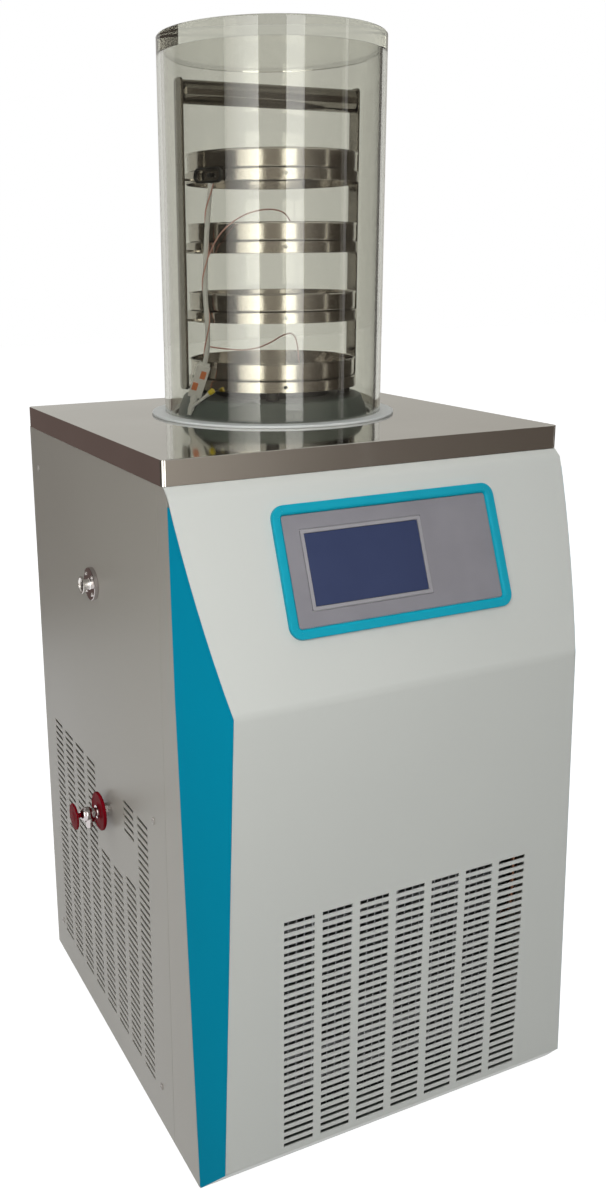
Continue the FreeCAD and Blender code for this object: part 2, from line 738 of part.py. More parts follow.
def rounded_plate(name, wide, tall, thick, corner, hole=None, hole_side=0, hole_corner=0):
    """A plate in the slope's own axes, with rounded corners and perhaps a rectangular hole."""
    owner = body(name)
    plate = pad(owner, sketch(owner, "XY_Plane", rectangle(wide / 2, tall / 2)), thick)
    rounded = round_edges(owner, plate, corner, upright)
    if hole:
        doc.recompute()
        half_wide, half_tall = hole[0] / 2, hole[1] / 2
        opening = [(x + hole_side, y) for x, y in rectangle(half_wide, half_tall)]
        pocket(owner, sketch(owner, "XY_Plane", opening))
    return owner


def make_control_panel():
    """Blue frame, gray overlay, border, touch screen and the control box behind the front."""
    overlay_wide = d.display_wide - d.display_band * 2
    overlay_tall = d.display_tall - d.display_band * 2
    gap = d.fit_gap * 2
    frame = rounded_plate("frame_ring", d.display_wide, d.display_tall, d.display_proud, d.display_round,
                          (overlay_wide, overlay_tall))
    finish(slope_place(frame), "display_frame")
    border_wide = d.screen_wide + d.screen_band * 2
    border_tall = d.screen_tall + d.screen_band * 2
    overlay = rounded_plate("overlay_plate", overlay_wide - gap, overlay_tall - gap, d.overlay_thick, size(3),
                            (border_wide + gap, border_tall + gap), -d.screen_side)
    finish(slope_place(overlay), "display_overlay")
    border = rounded_plate("screen_ring", border_wide, border_tall, d.overlay_thick + 0.6, size(1.5),
                           (d.screen_wide, d.screen_tall))
    finish(slope_place(border, -d.screen_side), "screen_border")
    screen = body("screen_plate")
    pad(screen, sketch(screen, "XY_Plane", rectangle((d.screen_wide - gap) / 2, (d.screen_tall - gap) / 2)),
        d.overlay_thick + d.steel * 1.1)
    finish(slope_place(screen, -d.screen_side, 0, -d.steel * 1.1), "touch_screen")
    control = body("control_case")
    pad(control, sketch(control, "XY_Plane", rectangle(d.screen_wide / 2 + 12, d.screen_tall / 2 + 10)),
        d.control_deep, back=True)
    finish(slope_place(control, -d.screen_side, 0, -d.steel * 1.1), "control_box")


# ---------------------------------------------------------------- jar, seal, trap and rack

def make_jar_and_trap():
    top = d.slab_top
    seal_in = d.seal_radius - d.seal_wide
    seal = turned("seal_ring_body", [(seal_in, 0), (d.seal_radius, 0), (d.seal_radius, d.seal_thick),
                                     (seal_in, d.seal_thick)], z=top)
    finish(seal, "jar_seal")
    inside = d.jar_radius - d.jar_wall
    high = d.jar_top - top - d.seal_thick
    jar = turned("jar_body", [(inside, 0), (d.jar_radius, 0), (d.jar_radius, high - 1.5),
                              (d.jar_radius - 1.5, high), (0, high), (0, high - d.jar_lid),
                              (inside, high - d.jar_lid)], z=top + d.seal_thick)
    finish(jar, "bell_jar")
    outside = d.trap_radius + d.trap_wall
    flange = d.trap_radius + d.trap_flange
    mouth = -d.slab_sheet
    pot = turned("pot_body", [(0, -d.trap_deep), (outside, -d.trap_deep), (outside, mouth - d.trap_wall),
                              (flange, mouth - d.trap_wall), (flange, mouth), (d.trap_radius, mouth),
                              (d.trap_radius, d.trap_wall - d.trap_deep), (0, d.trap_wall - d.trap_deep)], z=top)
    outlets = [rod("pot_vacuum_hole", (d.jar_side, d.port_side, d.port_high), "-x", d.pipe_bore, d.jar_radius),
               rod("pot_drain_hole", (d.jar_side, d.drain_side, top - d.trap_deep - 5), "z", d.drain_bore, 10)]
    finish(cut("cold_trap_cut", pot, outlets), "cold_trap")
    foam_in = outside + d.coil_gap * 2 + d.coil_tube * 2
    foam_out = foam_in + d.foam_wall
    foam_top = mouth - d.trap_wall
    foam_low = -d.trap_deep - d.foam_wall
    foam = turned("foam_body", [(0, foam_low), (foam_out, foam_low), (foam_out, foam_top), (foam_in, foam_top),
                                (foam_in, -d.trap_deep), (0, -d.trap_deep)], z=top)
    leads = [rod("foam_vacuum_hole", (d.jar_side, d.port_side, d.port_high), "-x", d.port_pipe, d.panel_half),
             rod("foam_drain_hole", (d.jar_side, d.drain_side, top - d.trap_deep - d.foam_wall - 5), "z",
                 d.drain_pipe, d.foam_wall + 10)]
    finish(cut("foam_cut", foam, leads), "trap_insulation")
    finish(make_coil(outside, foam_in), "evaporator_coil")


def make_coil(outside, foam_in):
    """The evaporator: a copper tube in as many turns as fit round the pot below the vacuum pipe."""
    radius = float(outside + d.coil_gap + d.coil_tube)
    under_pipe = d.port_high - d.port_pipe - d.coil_tube * 2
    pot_base = d.slab_top - d.trap_deep
    turns = int(float(under_pipe - d.coil_tube - pot_base) // float(d.coil_pitch))
    start = under_pipe - d.coil_pitch * turns

    def on_helix(wound):
        turn = 2 * math.pi * wound
        return Vector(radius * math.cos(turn), radius * math.sin(turn), float(d.coil_pitch) * wound)

    arcs = [Part.Arc(on_helix(i / 8), on_helix((i + 0.5) / 8), on_helix((i + 1) / 8)).toShape()
            for i in range(turns * 8)]
    ring = Part.Wire(Part.makeCircle(float(d.coil_tube), on_helix(0), Vector(0, 1, 0)))
    coil = feature("coil_tube", Part.Wire(arcs).makePipeShell([ring], True, False))
    return place(coil, d.jar_side, d.jar_back, start)


def make_rack():
    """Foot ring, posts, four shelves with lugs, two legs, a round handle and four trays."""
    top = d.slab_top
    axis_x, axis_y = d.jar_side, d.jar_back
    ring_top = d.base_radius - d.ring_taper - d.ring_edge
    foot = turned("foot_ring", [(d.base_bore, 0), (d.base_radius - d.ring_edge, 0), (d.base_radius, d.ring_edge),
                                (ring_top + d.ring_edge, d.base_high - d.ring_edge), (ring_top, d.base_high),
                                (d.base_bore, d.base_high)], z=top)
    finish(foot, "rack_foot_ring")
    under = d.shelf_first + d.shelf_rim - d.rack_sheet
    posts = []
    for i in range(4):
        turn = math.radians(float(d.standoff_turn) + 90 * i)
        ring = (d.base_bore + ring_top) / 2
        posts.append(rod(f"post_{i + 1}", (axis_x + ring * math.cos(turn), axis_y + ring * math.sin(turn),
                                           top + d.base_high), "z", d.standoff_radius, under - d.base_high))
    finish(fuse("posts", posts), "rack_posts")
    for i in range(4):
        low = top + d.shelf_first + d.shelf_pitch * i
        rim, metal = d.shelf_radius, d.rack_sheet
        pan = turned(f"shelf_pan_{i + 1}", [(rim - metal, 0), (rim, 0), (rim, d.shelf_rim), (0, d.shelf_rim),
                                            (0, d.shelf_rim - metal), (rim - metal, d.shelf_rim - metal)],
                     z=low)
        lug_long = d.leg_out - d.leg_thick / 2 - rim + 1.2
        lugs = [box(f"lug_{word}_{i + 1}", (axis_x + start, axis_y - 8, low + 1), lug_long, 16, 3)
                for word, start in (("right", rim - 1.2), ("left", -(d.leg_out - d.leg_thick / 2)))]
        through = (axis_x - d.shelf_hole_side, axis_y - rim - 3, low + d.shelf_rim / 2)
        hole = rod(f"shelf_hole_{i + 1}", through, "y", d.shelf_hole, 12)
        finish(cut(f"shelf_cut_{i + 1}", fuse(f"shelf_fused_{i + 1}", [pan] + lugs), [hole]), f"shelf_{i + 1}")
        wall = d.tray_radius
        tray = turned(f"tray_body_{i + 1}", [(0, 0), (wall - 2, 0), (wall, 2), (wall, d.tray_high),
                                             (wall - 1, d.tray_high), (wall - 1, 2.4), (wall - 2.4, 1),
                                             (0, 1)], z=low + d.shelf_rim)
        finish(tray, f"tray_{i + 1}")
    leg_high = d.leg_top - d.shelf_first
    legs = []
    for word, side in (("left", -1), ("right", 1)):
        corner = (axis_x + side * d.leg_out - d.leg_thick / 2, axis_y - d.leg_wide / 2, top + d.shelf_first)
        legs.append(box(word + "_leg_bar", corner, d.leg_thick, d.leg_wide, leg_high))
    finish(fuse("both_legs", legs), "rack_legs")
    grip_half = d.leg_out - d.leg_thick / 2
    grip_high = top + d.leg_top - d.handle_drop - d.handle_radius
    grip = rod("handle_bar", (axis_x - grip_half, axis_y, grip_high), "x", d.handle_radius, grip_half * 2)
    finish(grip, "rack_handle")


# ---------------------------------------------------------------- fittings on the left side

def make_vacuum_port():
    """Turned port with a flange, a neck and an end lip; its pipe runs on to the cold trap."""
    wall = d.panel_half
    y, z = d.port_side, d.port_high
    parts = [rod("port_plate_disc", (-wall, y, z), "-x", d.port_flange, d.port_plate),
             rod("port_neck", (-wall, y, z), "-x", d.port_pipe, d.port_reach),
             rod("port_end", (-wall - d.port_reach + 2.5, y, z), "-x", d.port_lip, 2.5)]
    bore = rod("port_bore_rod", (-wall - d.port_reach - 1, y, z), "x", d.port_bore, d.port_reach + 2)
    finish(cut("port_cut", fuse("port_fused", parts), [bore]), "vacuum_port")
    heads = []
    for i in range(4):
        turn = math.radians(45 + 90 * i)
        ring = (d.port_flange + d.port_lip) / 2
        place_y, place_z = y + ring * math.cos(turn), z + ring * math.sin(turn)
        heads.append(rod(f"port_screw_{i + 1}", (-wall - d.port_plate, place_y, place_z), "-x", 2.2, 1.4))
    finish(fuse("port_screws_fused", heads), "vacuum_port_screws")
    nearest = float(d.jar_back - d.port_side - d.port_pipe)
    end = float(d.jar_side - d.fit_gap) - math.sqrt(float(d.trap_radius + d.trap_wall) ** 2 - nearest ** 2)
    pipe = tube("vacuum_pipe_tube", [numbers(-wall, y, z), (end, *numbers(y, z))], d.port_pipe, d.pipe_bore)
    finish(pipe, "vacuum_pipe")


def make_drain():
    """Drain pipe from the trap's base through the panel, with a nut, a red disc, the valve and its knob."""
    wall = d.panel_half
    y, z = d.drain_side, d.drain_high
    pot_base = d.slab_top - d.trap_deep
    bend = [numbers(d.jar_side, y, pot_base), numbers(d.jar_side, y, z), numbers(-wall - d.collar_start, y, z)]
    finish(drain_tube(bend), "drain_pipe")
    nut = [rod("nut_body", (-wall, y, z), "-x", d.drain_nut, d.collar_start)]
    hole = [rod("nut_hole", (-wall + 1, y, z), "-x", d.drain_pipe + 0.05, d.collar_start + 2)]
    finish(cut("nut_cut", nut[0], hole), "drain_nut")
    disc = rod("collar_disc", (-wall - d.collar_start, y, z), "-x", d.collar_radius, d.collar_thick)
    finish(disc, "drain_lock_disc")
    valve_start = d.collar_start + d.collar_thick
    barrel = rod("valve_barrel", (-wall - valve_start, y, z), "-x", d.valve_radius, d.valve_end - valve_start)
    along, tip = -wall - (valve_start + d.valve_end) / 2, z - d.spout_start - d.spout_long
    spout = [rod("valve_shoulder", (along, y, z - d.spout_start), "z", d.spout_collar, d.spout_start),
             rod("valve_spout", (along, y, tip), "z", d.spout_radius, d.spout_long + d.spout_start)]
    spout_bore = rod("valve_spout_bore", (along, y, tip - 1), "z", d.spout_bore, d.spout_long + d.spout_start + 1)
    stem_hole = rod("valve_stem_hole", (-wall - d.valve_end + 8, y, z), "-x", d.stem_radius + d.stem_gap, 10)
    valve = cut("valve_cut", fuse("valve_fused", [barrel] + spout), [spout_bore, stem_hole])
    finish(valve, "drain_valve_body")
    knob = [rod("knob_disc", (-wall - d.knob_reach + d.knob_thick, y, z), "-x", d.knob_radius, d.knob_thick),
            rod("knob_stem", (-wall - d.valve_end + 7.5, y, z), "-x", d.stem_radius,
                d.knob_reach - d.valve_end + 7)]
    finish(fuse("knob_fused", knob), "drain_valve_knob")


def drain_tube(points):
    """A pipe with one tight bend of four radii."""
    bend = float(d.drain_pipe) * 4
    a, corner, b = [Vector(*p) for p in points]
    before = (corner - a).normalize()
    after = (b - corner).normalize()
    centre = corner - before * bend + after * bend
    middle = centre + (before - after).normalize() * bend
    path = Part.Wire([Part.LineSegment(a, corner - before * bend).toShape(),
                      Part.Arc(corner - before * bend, middle, corner + after * bend).toShape(),
                      Part.LineSegment(corner + after * bend, b).toShape()])
    shells = []
    for radius in numbers(d.drain_pipe, d.drain_bore):
        ring = Part.Wire(Part.makeCircle(radius, a, before))
        shells.append(path.makePipeShell([ring], True, False))
    return feature("drain_pipe_tube", shells[0].cut(shells[1]))


# ---------------------------------------------------------------- base and frame

def make_base():
    """Base plate with upturned edges, four feet and the welded frame that carries the top."""
    half = inner_half - d.seam_gap
    back = d.back_face - d.steel - d.seam_gap
    deep = d.base_front + back
    floor = box("floor_plate", (-half, -d.base_front, d.shell_base), half * 2, deep, d.base_sheet)
    edges = [box("left_edge", (-half, -d.base_front, d.shell_base), d.base_sheet, deep, d.base_edge),
             box("right_edge", (half - d.base_sheet, -d.base_front, d.shell_base), d.base_sheet, deep, d.base_edge),
             box("back_edge", (-half, back - d.base_sheet, d.shell_base), half * 2, d.base_sheet, d.base_edge)]
    finish(fuse("base_fused", [floor] + edges), "base_plate")
    feet = []
    front_row, rear_row = d.foot_front_in - d.toe_front, d.back_face - d.foot_back_in
    for word, x, y in (("front_left", -1, front_row), ("front_right", 1, front_row),
                       ("rear_left", -1, rear_row), ("rear_right", 1, rear_row)):
        feet.append(turned("foot_" + word, [(0, 0), (d.foot_radius - 1.5, 0), (d.foot_radius, 1.5),
                                            (d.foot_radius - 2, d.shell_base), (0, d.shell_base)],
                           x * (d.panel_half - d.foot_in), y, 0))
    finish(fuse("four_feet", feet), "feet")
    inset = d.base_sheet + 0.3
    left, front = -half + inset, -d.post_front
    right = half - inset - d.post_size
    rear = d.slab_deep / 2 - d.slab_sheet - d.seam_gap - d.post_size
    under_top = d.slab_top - d.slab_sheet
    bars = []
    for name, x, y in (("post_fl", left, front), ("post_fr", right, front), ("post_rl", left, rear),
                       ("post_rr", right, rear)):
        bars.append(box(name, (x, y, tray_top), d.post_size, d.post_size, under_top - tray_top))
    beam = under_top - d.post_size
    for name, y in (("rail_front", front), ("rail_rear", rear)):
        bars.append(box(name, (left, y, beam), right - left, d.post_size, d.post_size))
    for name, x in (("rail_left", left), ("rail_right", right)):
        bars.append(box(name, (x, front, beam), d.post_size, rear - front, d.post_size))
    shelf = d.slab_top - d.trap_deep - d.foam_wall - d.post_size
    for name, y in (("cross_front", d.jar_back - 100), ("cross_rear", d.jar_back + 80)):
        bars.append(box(name, (left, y, shelf), right - left + d.post_size, d.post_size, d.post_size))
    for name, x in (("side_left", left), ("side_right", right)):
        bars.append(box(name, (x, front, shelf), d.post_size, rear - front, d.post_size))
    finish(fuse("frame_fused", bars), "welded_frame")


# ---------------------------------------------------------------- cooling unit

def make_cooling():
    """Condenser behind the grille, its fan and shroud, the compressor, the drier and the copper lines."""
    half = d.condenser_half
    front = -d.condenser_front
    fins = []
    for i in range(31):
        along = -half + 1 + (half * 2 - 3) * i / 30
        fins.append(box(f"fin_{i + 1}", (along, front, d.fin_low), 1, d.condenser_deep,
                        d.condenser_top - d.fin_low))
    ends = [box("end_left", (-half - 1.5, front, tray_top), 2, d.condenser_deep, d.condenser_top - tray_top),
            box("end_right", (half - 0.5, front, tray_top), 2, d.condenser_deep, d.condenser_top - tray_top)]
    pipes = []
    for i in range(7):
        height = d.fin_low + 20 + (d.condenser_top - d.fin_low - 40) * i / 6
        start = (-half - 8, front + d.condenser_deep / 2, height)
        pipes.append(rod(f"pass_{i + 1}", start, "x", 5, half * 2 + 16))
    finish(fuse("condenser_fused", fins + ends + pipes), "condenser")
    shroud_front = front + d.condenser_deep
    plate = box("shroud_plate", (-half, shroud_front, tray_top), half * 2, 2, d.condenser_top - tray_top)
    opening = d.fan_radius + d.fan_gap
    ring = rod("shroud_ring", (0, shroud_front, d.fan_high), "y", opening + 2, d.shroud_deep)
    hole = rod("shroud_hole", (0, shroud_front - 1, d.fan_high), "y", opening, d.shroud_deep + 2)
    motor_front = shroud_front + d.shroud_deep + 6
    arms = [box("arm_level", (-opening - 2, motor_front + 10, d.fan_high - 8), opening * 2 + 4, 3, 16),
            box("arm_foot_left", (-opening - 2, shroud_front, d.fan_high - 8), 3, d.shroud_deep + 19, 16),
            box("arm_foot_right", (opening - 1, shroud_front, d.fan_high - 8), 3, d.shroud_deep + 19, 16)]
    motor_hole = rod("arm_hole", (0, motor_front + 5, d.fan_high), "y", d.motor_radius, 20)
    shell = fuse("shroud_shell", [plate, ring])
    finish(cut("shroud_cut", fuse("shroud_armed", [cut("shroud_open", shell, [hole])] + arms), [motor_hole]),
           "fan_shroud")
    motor = rod("motor_can", (0, motor_front, d.fan_high), "y", d.motor_radius, d.motor_long)
    shaft = rod("motor_shaft", (0, motor_front - d.shroud_deep, d.fan_high), "y", d.shaft_radius, d.shroud_deep)
    finish(fuse("motor_fused", [motor, shaft]), "fan_motor")
    finish(make_fan(shroud_front + 8), "fan_blades")
    make_compressor()
    make_lines(front)


FAN_BLADES = 5


def make_fan(front):
    """Hub and pitched blades; the hub's bore runs on the motor's shaft."""
    hub_radius, tip, shaft, start, high = numbers(d.fan_hub, d.fan_radius, d.shaft_radius + 0.05, front, d.fan_high)
    hub = Part.makeCylinder(hub_radius, 20, Vector(0, start, high), Vector(0, 1, 0))
    blades = [hub]
    for i in range(FAN_BLADES):
        blade = Part.makeBox(tip - hub_radius + 3, 1.6, 64, Vector(hub_radius - 3, -0.8, -32))
        blade.rotate(Vector(0, 0, 0), Vector(1, 0, 0), 16)
        blade.translate(Vector(0, start + 10, high))
        blade.rotate(Vector(0, 0, high), Vector(0, 1, 0), 360 / FAN_BLADES * i)
        blades.append(blade)
    solid = blades[0].multiFuse(blades[1:])
    disc = Part.makeCylinder(tip, 40, Vector(0, start - 10, high), Vector(0, 1, 0))
    solid = solid.common(disc)
    bore = Part.makeCylinder(shaft, 60, Vector(0, start - 20, high), Vector(0, 1, 0))
    return feature("fan_wheel", solid.cut(bore))


def make_compressor():
    x, y = d.compressor_side, d.compressor_back
    low = tray_top + d.mount_high
    shell = turned("compressor_can", [(0, 4), (d.compressor_radius - 14, 4), (d.compressor_radius, 18),
                                      (d.compressor_radius, d.compressor_high - 30),
                                      (d.compressor_radius - 26, d.compressor_high), (0, d.compressor_high)],
                   x, y, low)
    foot = box("compressor_foot", (x - 80, y - 80, low), 160, 160, 4.5)
    finish(fuse("compressor_fused", [shell, foot]), "compressor")
    mounts = []
    for i, (dx, dy) in enumerate(((-66, -66), (66, -66), (-66, 66), (66, 66))):
        mounts.append(rod(f"rubber_{i + 1}", (x + dx, y + dy, tray_top), "z", d.mount_radius, d.mount_high))
    finish(fuse("rubbers", mounts), "compressor_mounts")


def make_lines(front):
    """Discharge line to the condenser, and the liquid line with the drier up to the evaporator."""
    half, deep = numbers(d.condenser_half, d.condenser_deep)
    x, y = numbers(d.compressor_side, d.compressor_back)
    face = float(front) + deep / 2
    top_pass, low_pass = numbers(d.condenser_top - 20, d.fin_low + 20)
    shell_side = x + float(d.compressor_radius)
    run_high = float(tray_top + d.mount_high) + 120
    discharge = [(shell_side + 0.3, y, run_high), (half + 40, y, run_high), (half + 40, face, run_high + 40),
                 (half + 40, face, top_pass), (half + 8, face, top_pass)]
    drier_low, drier_long = 240.0, 110.0
    left = -half - 30
    liquid = [(-half - 8, face, low_pass), (left, face, low_pass), (left, face + 60, low_pass),
              (left, face + 60, drier_low)]
    lines = [tube("discharge_tube", discharge, d.line_radius), tube("liquid_tube", liquid, d.line_radius)]
    finish(fuse("both_lines", lines), "copper_lines")
    drier = turned("drier_can", [(0, 0), (5, 0), (d.drier_radius, 14), (d.drier_radius, drier_long - 14),
                                 (5, drier_long), (0, drier_long)], left, face + 60, drier_low)
    finish(drier, "filter_drier")


# ---------------------------------------------------------------- mains

def make_mains():
    """Mains box inside the back, the inlet with its socket, and the switch with its rocker."""
    inlet_z, switch_z = socket_heights()
    x, wall = d.power_side, d.back_face
    inner_wall = wall - d.steel
    wide, tall = d.inlet_wide / 2, d.inlet_tall / 2
    flange = box("inlet_flange", (x - wide, wall, inlet_z - tall), wide * 2, d.inlet_proud, tall * 2)
    gap = d.fit_gap
    throat_wide, throat_tall = wide - 8 - gap, tall - 3 - gap
    throat = box("inlet_throat", (x - throat_wide, wall - 24, inlet_z - throat_tall), throat_wide * 2, 25,
                 throat_tall * 2)
    socket_wide, socket_tall = throat_wide - 2, throat_tall - 2
    socket = box("inlet_socket", (x - socket_wide, wall - 20, inlet_z - socket_tall), socket_wide * 2,
                 30, socket_tall * 2)
    pins = []
    for i, rise in enumerate((-1, 2, -1)):
        pins.append(box(f"inlet_pin_{i + 1}", (x + 7 * (i - 1) - 1, wall - 21, inlet_z - 2 + rise), 2, 17, 4))
    hollow = cut("inlet_hollow", fuse("inlet_block", [flange, throat]), [socket])
    finish(fuse("inlet_fused", [hollow] + pins), "mains_inlet")
    case_wall = 24
    finish(box("mains_case", (x - 45, wall - case_wall - 50, d.power_high - 60), 90, 50, 120), "mains_box")
    make_switch(x, wall, switch_z)


def make_switch(x, wall, z):
    """Switch housing with a rocker on a cross pin."""
    wide, tall = d.switch_wide / 2, d.switch_tall / 2
    inner_wide, inner_tall = wide - 3 - d.fit_gap, tall - 3 - d.fit_gap
    flange = box("switch_flange", (x - wide, wall, z - tall), wide * 2, 2, tall * 2)
    block = box("switch_block", (x - inner_wide, wall - 24, z - inner_tall), inner_wide * 2, 25, inner_tall * 2)
    cave_wide, cave_tall = inner_wide - 1.5, inner_tall - 1.2
    cave = box("switch_cave", (x - cave_wide, wall - 16, z - cave_tall), cave_wide * 2, 20, cave_tall * 2)
    pin_y = wall - 4
    pin = rod("switch_pin", (x - inner_wide, pin_y, z), "x", 1.2, inner_wide * 2)
    hollow = cut("switch_hollow", fuse("switch_solid", [flange, block]), [cave])
    finish(fuse("switch_fused", [hollow, pin]), "power_switch")
    owner = body("rocker_body")
    reach = inner_tall - 2.2
    tilt = math.tan(math.radians(float(d.rocker_tilt)))
    outline = [(-4, -reach), (6.5 - reach * tilt, -reach + 0.4), (6.5, 0), (6.5 - reach * tilt, reach - 0.4),
               (-4, reach)]
    half = inner_wide - 2
    pad(owner, sketch(owner, "YZ_Plane", outline, circles=[((0, 0), 1.25)]), half * 2, midplane=True)
    finish(place(owner, x, pin_y, z, Vector(1, 0, 0), d.rocker_tilt * -1), "power_rocker")


def make_screws():
    """Heads and shanks of the screws that hold the side panels to the frame."""
    screws = []
    rear, fore = d.back_face - 30, 36 - d.seam_front
    high, low = d.slab_top - 78, d.shell_base + 50
    spots = ((rear, high), (fore, d.louvre_top + 20), (fore, low), (rear, low))
    for side in (-1, 1):
        for i, (y, z) in enumerate(spots):
            name = f"screw_{'right' if side > 0 else 'left'}_{i + 1}"
            direction = "x" if side > 0 else "-x"
            screws.append(rod(name, (side * d.panel_half, y, z), direction, d.screw_radius, d.screw_thick))
    finish(fuse("screws", screws), "panel_screws")


# ---------------------------------------------------------------- sensor leads in the jar

# Points of the leads: right of the jar's axis, behind it, and above the steel top.
BUNDLE = [(-97.5, -42.5, 265.7), (-100.5, -38.5, 222), (-102, -35.5, 180), (-102.5, -34, 145),
          (-101, -36.5, 110), (-101, -36.3, 78), (-105, -29.4, 57.8)]
UPPER_LEAD = [(-100.3, -39.6, 186), (-96, -50, 207), (-82, -69, 226), (-60, -76, 236), (-34, -75, 238),
              (-13, -68, 231), (-3, -61, 213)]
LOWER_LEAD = [(-99.9, -40, 86), (-84, -54, 83), (-60, -62, 82), (-38, -64, 88), (-18, -62, 98), (-2, -58, 100),
              (6, -55, 84), (8, -54, 62)]
PLUG_END = (-111.1, -18.8, 27)
TAIL_END = (-119, -21, 4.5)


def about_jar(points):
    """Points about the jar's axis moved to the cabinet's middle."""
    side, back, top = numbers(d.jar_side, d.jar_back, d.slab_top)
    return [(side + x, back + y, top + z) for x, y, z in points]


def make_leads():
    """White bundle of leads from the clip on the top shelf to its plug, and the leads to two trays."""
    finish(tube("bundle_cord", about_jar(BUNDLE), d.bundle_radius, report="sensor_bundle"), "sensor_bundle")
    for word, route in (("upper", UPPER_LEAD), ("lower", LOWER_LEAD)):
        node = "sensor_lead_" + word
        finish(tube(word + "_cord", about_jar(route), d.lead_radius, report=node), node)
    start, end, tip = [Vector(*p) for p in about_jar([BUNDLE[-1], PLUG_END, TAIL_END])]
    plug = Part.makeCylinder(float(d.plug_radius), (end - start).Length, start, end - start)
    inside = end - (end - start).normalize() * float(d.tail_radius)
    tail = Part.makeCylinder(float(d.tail_radius), (tip - inside).Length, inside, tip - inside)
    finish(feature("plug_body", plug.fuse(tail)), "sensor_plug")
    low = d.slab_top + d.shelf_first + d.shelf_pitch * 3 - d.clip_drop
    outer = doc.addObject("Part::Cylinder", "clip_outer")
    bind(outer, Radius=d.shelf_radius + d.fit_gap + d.clip_thick, Height=d.clip_high, Angle=26.5)
    inner = doc.addObject("Part::Cylinder", "clip_inner")
    bind(inner, Radius=d.shelf_radius + d.fit_gap, Height=d.clip_high)
    for piece in (outer, inner):
        place(piece, d.jar_side, d.jar_back, low, Vector(0, 0, 1), 188.5)
    finish(cut("clip_cut", outer, [inner]), "sensor_clip")


make_control_panel()
make_jar_and_trap()
make_rack()
make_leads()
make_vacuum_port()
make_drain()
make_base()
make_cooling()
make_mains()
make_screws()

doc.recompute()
for thing in doc.Objects:
    if {"Invalid", "Error"} & set(thing.State):
        raise RuntimeError(f"{thing.Name} failed: {thing.State}")
for node, thing in nodes:
    if thing.Shape.isNull() or not thing.Shape.isValid() or not thing.Shape.Solids:
        raise RuntimeError(f"{node} has no valid solid")
for node, thing in nodes:
    thing.Shape.exportStep(os.path.join("parts", node + ".step"))
print(f"{len(nodes)} sub-parts written")
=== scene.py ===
import bpy
import bmesh
import math
from mathutils import Matrix, Vector


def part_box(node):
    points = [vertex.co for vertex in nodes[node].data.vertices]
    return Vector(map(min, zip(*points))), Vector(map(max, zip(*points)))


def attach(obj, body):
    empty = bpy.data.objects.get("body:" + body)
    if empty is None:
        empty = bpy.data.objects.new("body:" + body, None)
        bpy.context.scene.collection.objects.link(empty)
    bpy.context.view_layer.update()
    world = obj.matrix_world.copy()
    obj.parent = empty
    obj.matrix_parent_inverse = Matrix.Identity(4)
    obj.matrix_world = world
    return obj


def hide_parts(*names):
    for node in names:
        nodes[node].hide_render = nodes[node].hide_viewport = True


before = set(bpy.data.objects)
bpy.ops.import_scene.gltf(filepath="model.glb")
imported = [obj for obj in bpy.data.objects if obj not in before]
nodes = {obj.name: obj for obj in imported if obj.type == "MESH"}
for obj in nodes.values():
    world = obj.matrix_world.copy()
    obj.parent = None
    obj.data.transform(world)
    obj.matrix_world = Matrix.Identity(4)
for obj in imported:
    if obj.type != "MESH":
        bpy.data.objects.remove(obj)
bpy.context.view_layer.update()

# ------------------------------------------------------------------ camera
# The machine is looked at from in front and to its left, a little from above,
# as a person standing before it sees the top, the front and the left side.
camera_place = Vector((-0.6106, -1.1835, 0.9914))
camera_heading = math.radians(25.66)
camera_dip = math.radians(14.87)
camera_roll = math.radians(0.53)

lens = bpy.data.cameras.new("camera")
lens.sensor_width = 36.0
lens.lens = 33.98
lens.shift_x = 0.0507
lens.shift_y = -0.03474
lens.clip_end = 60.0
camera = bpy.data.objects.new("camera", lens)
turn = Matrix.Rotation(-camera_heading, 4, "Z") @ Matrix.Rotation(math.pi / 2 - camera_dip, 4, "X")
lean = Matrix.Rotation(-camera_roll, 4, "Z")
camera.matrix_world = Matrix.Translation(camera_place) @ turn @ lean
bpy.context.scene.collection.objects.link(camera)
bpy.context.scene.camera = camera

# ------------------------------------------------------------------ studio
# A pale floor and an even pale surround, lit by large soft lamps. Metal and glass see a
# ring of cards in place of the lamps: dim walls, and three tall bright windows in front.
scene = bpy.context.scene
scene.view_settings.view_transform = "Standard"


def added(tree, kind, inputs=None, **settings):
    """A new shader node. Each input is a plain value or another node's output."""
    item = tree.nodes.new("ShaderNode" + kind)
    for key, value in settings.items():
        setattr(item, key, value)
    for key, value in (inputs or {}).items():
        if isinstance(value, bpy.types.NodeSocket):
            tree.links.new(value, item.inputs[key])
        else:
            item.inputs[key].default_value = value
    return item


def node_material(name):
    """A fresh material with its output, ready for shader nodes."""
    material = bpy.data.materials.new(name)
    material.use_nodes = True
    tree = material.node_tree
    tree.nodes.clear()
    return material, tree, added(tree, "OutputMaterial")


def two_tone(tree, factor, dark, light):
    """A colour between two others, each a plain colour or another node's output."""
    ends = [end if isinstance(end, bpy.types.NodeSocket) else (*end, 1) for end in (dark, light)]
    return added(tree, "Mix", {0: factor, 6: ends[0], 7: ends[1]}, data_type="RGBA").outputs[2]


def spread(tree, value, low, high, start=0.3, stop=0.7):
    """A pattern spread between two numbers."""
    return added(tree, "MapRange", {"Value": value, "From Min": start, "From Max": stop,
                                    "To Min": low, "To Max": high}).outputs["Result"]


def seen_directly(tree):
    """1 where the camera, a mirror or glass looks straight at a surface, else 0."""
    path = added(tree, "LightPath")
    total = path.outputs["Is Camera Ray"]
    for ray in ("Is Glossy Ray", "Is Transmission Ray"):
        total = added(tree, "Math", {0: total, 1: path.outputs[ray]},
                      operation="MAXIMUM").outputs[0]
    return total


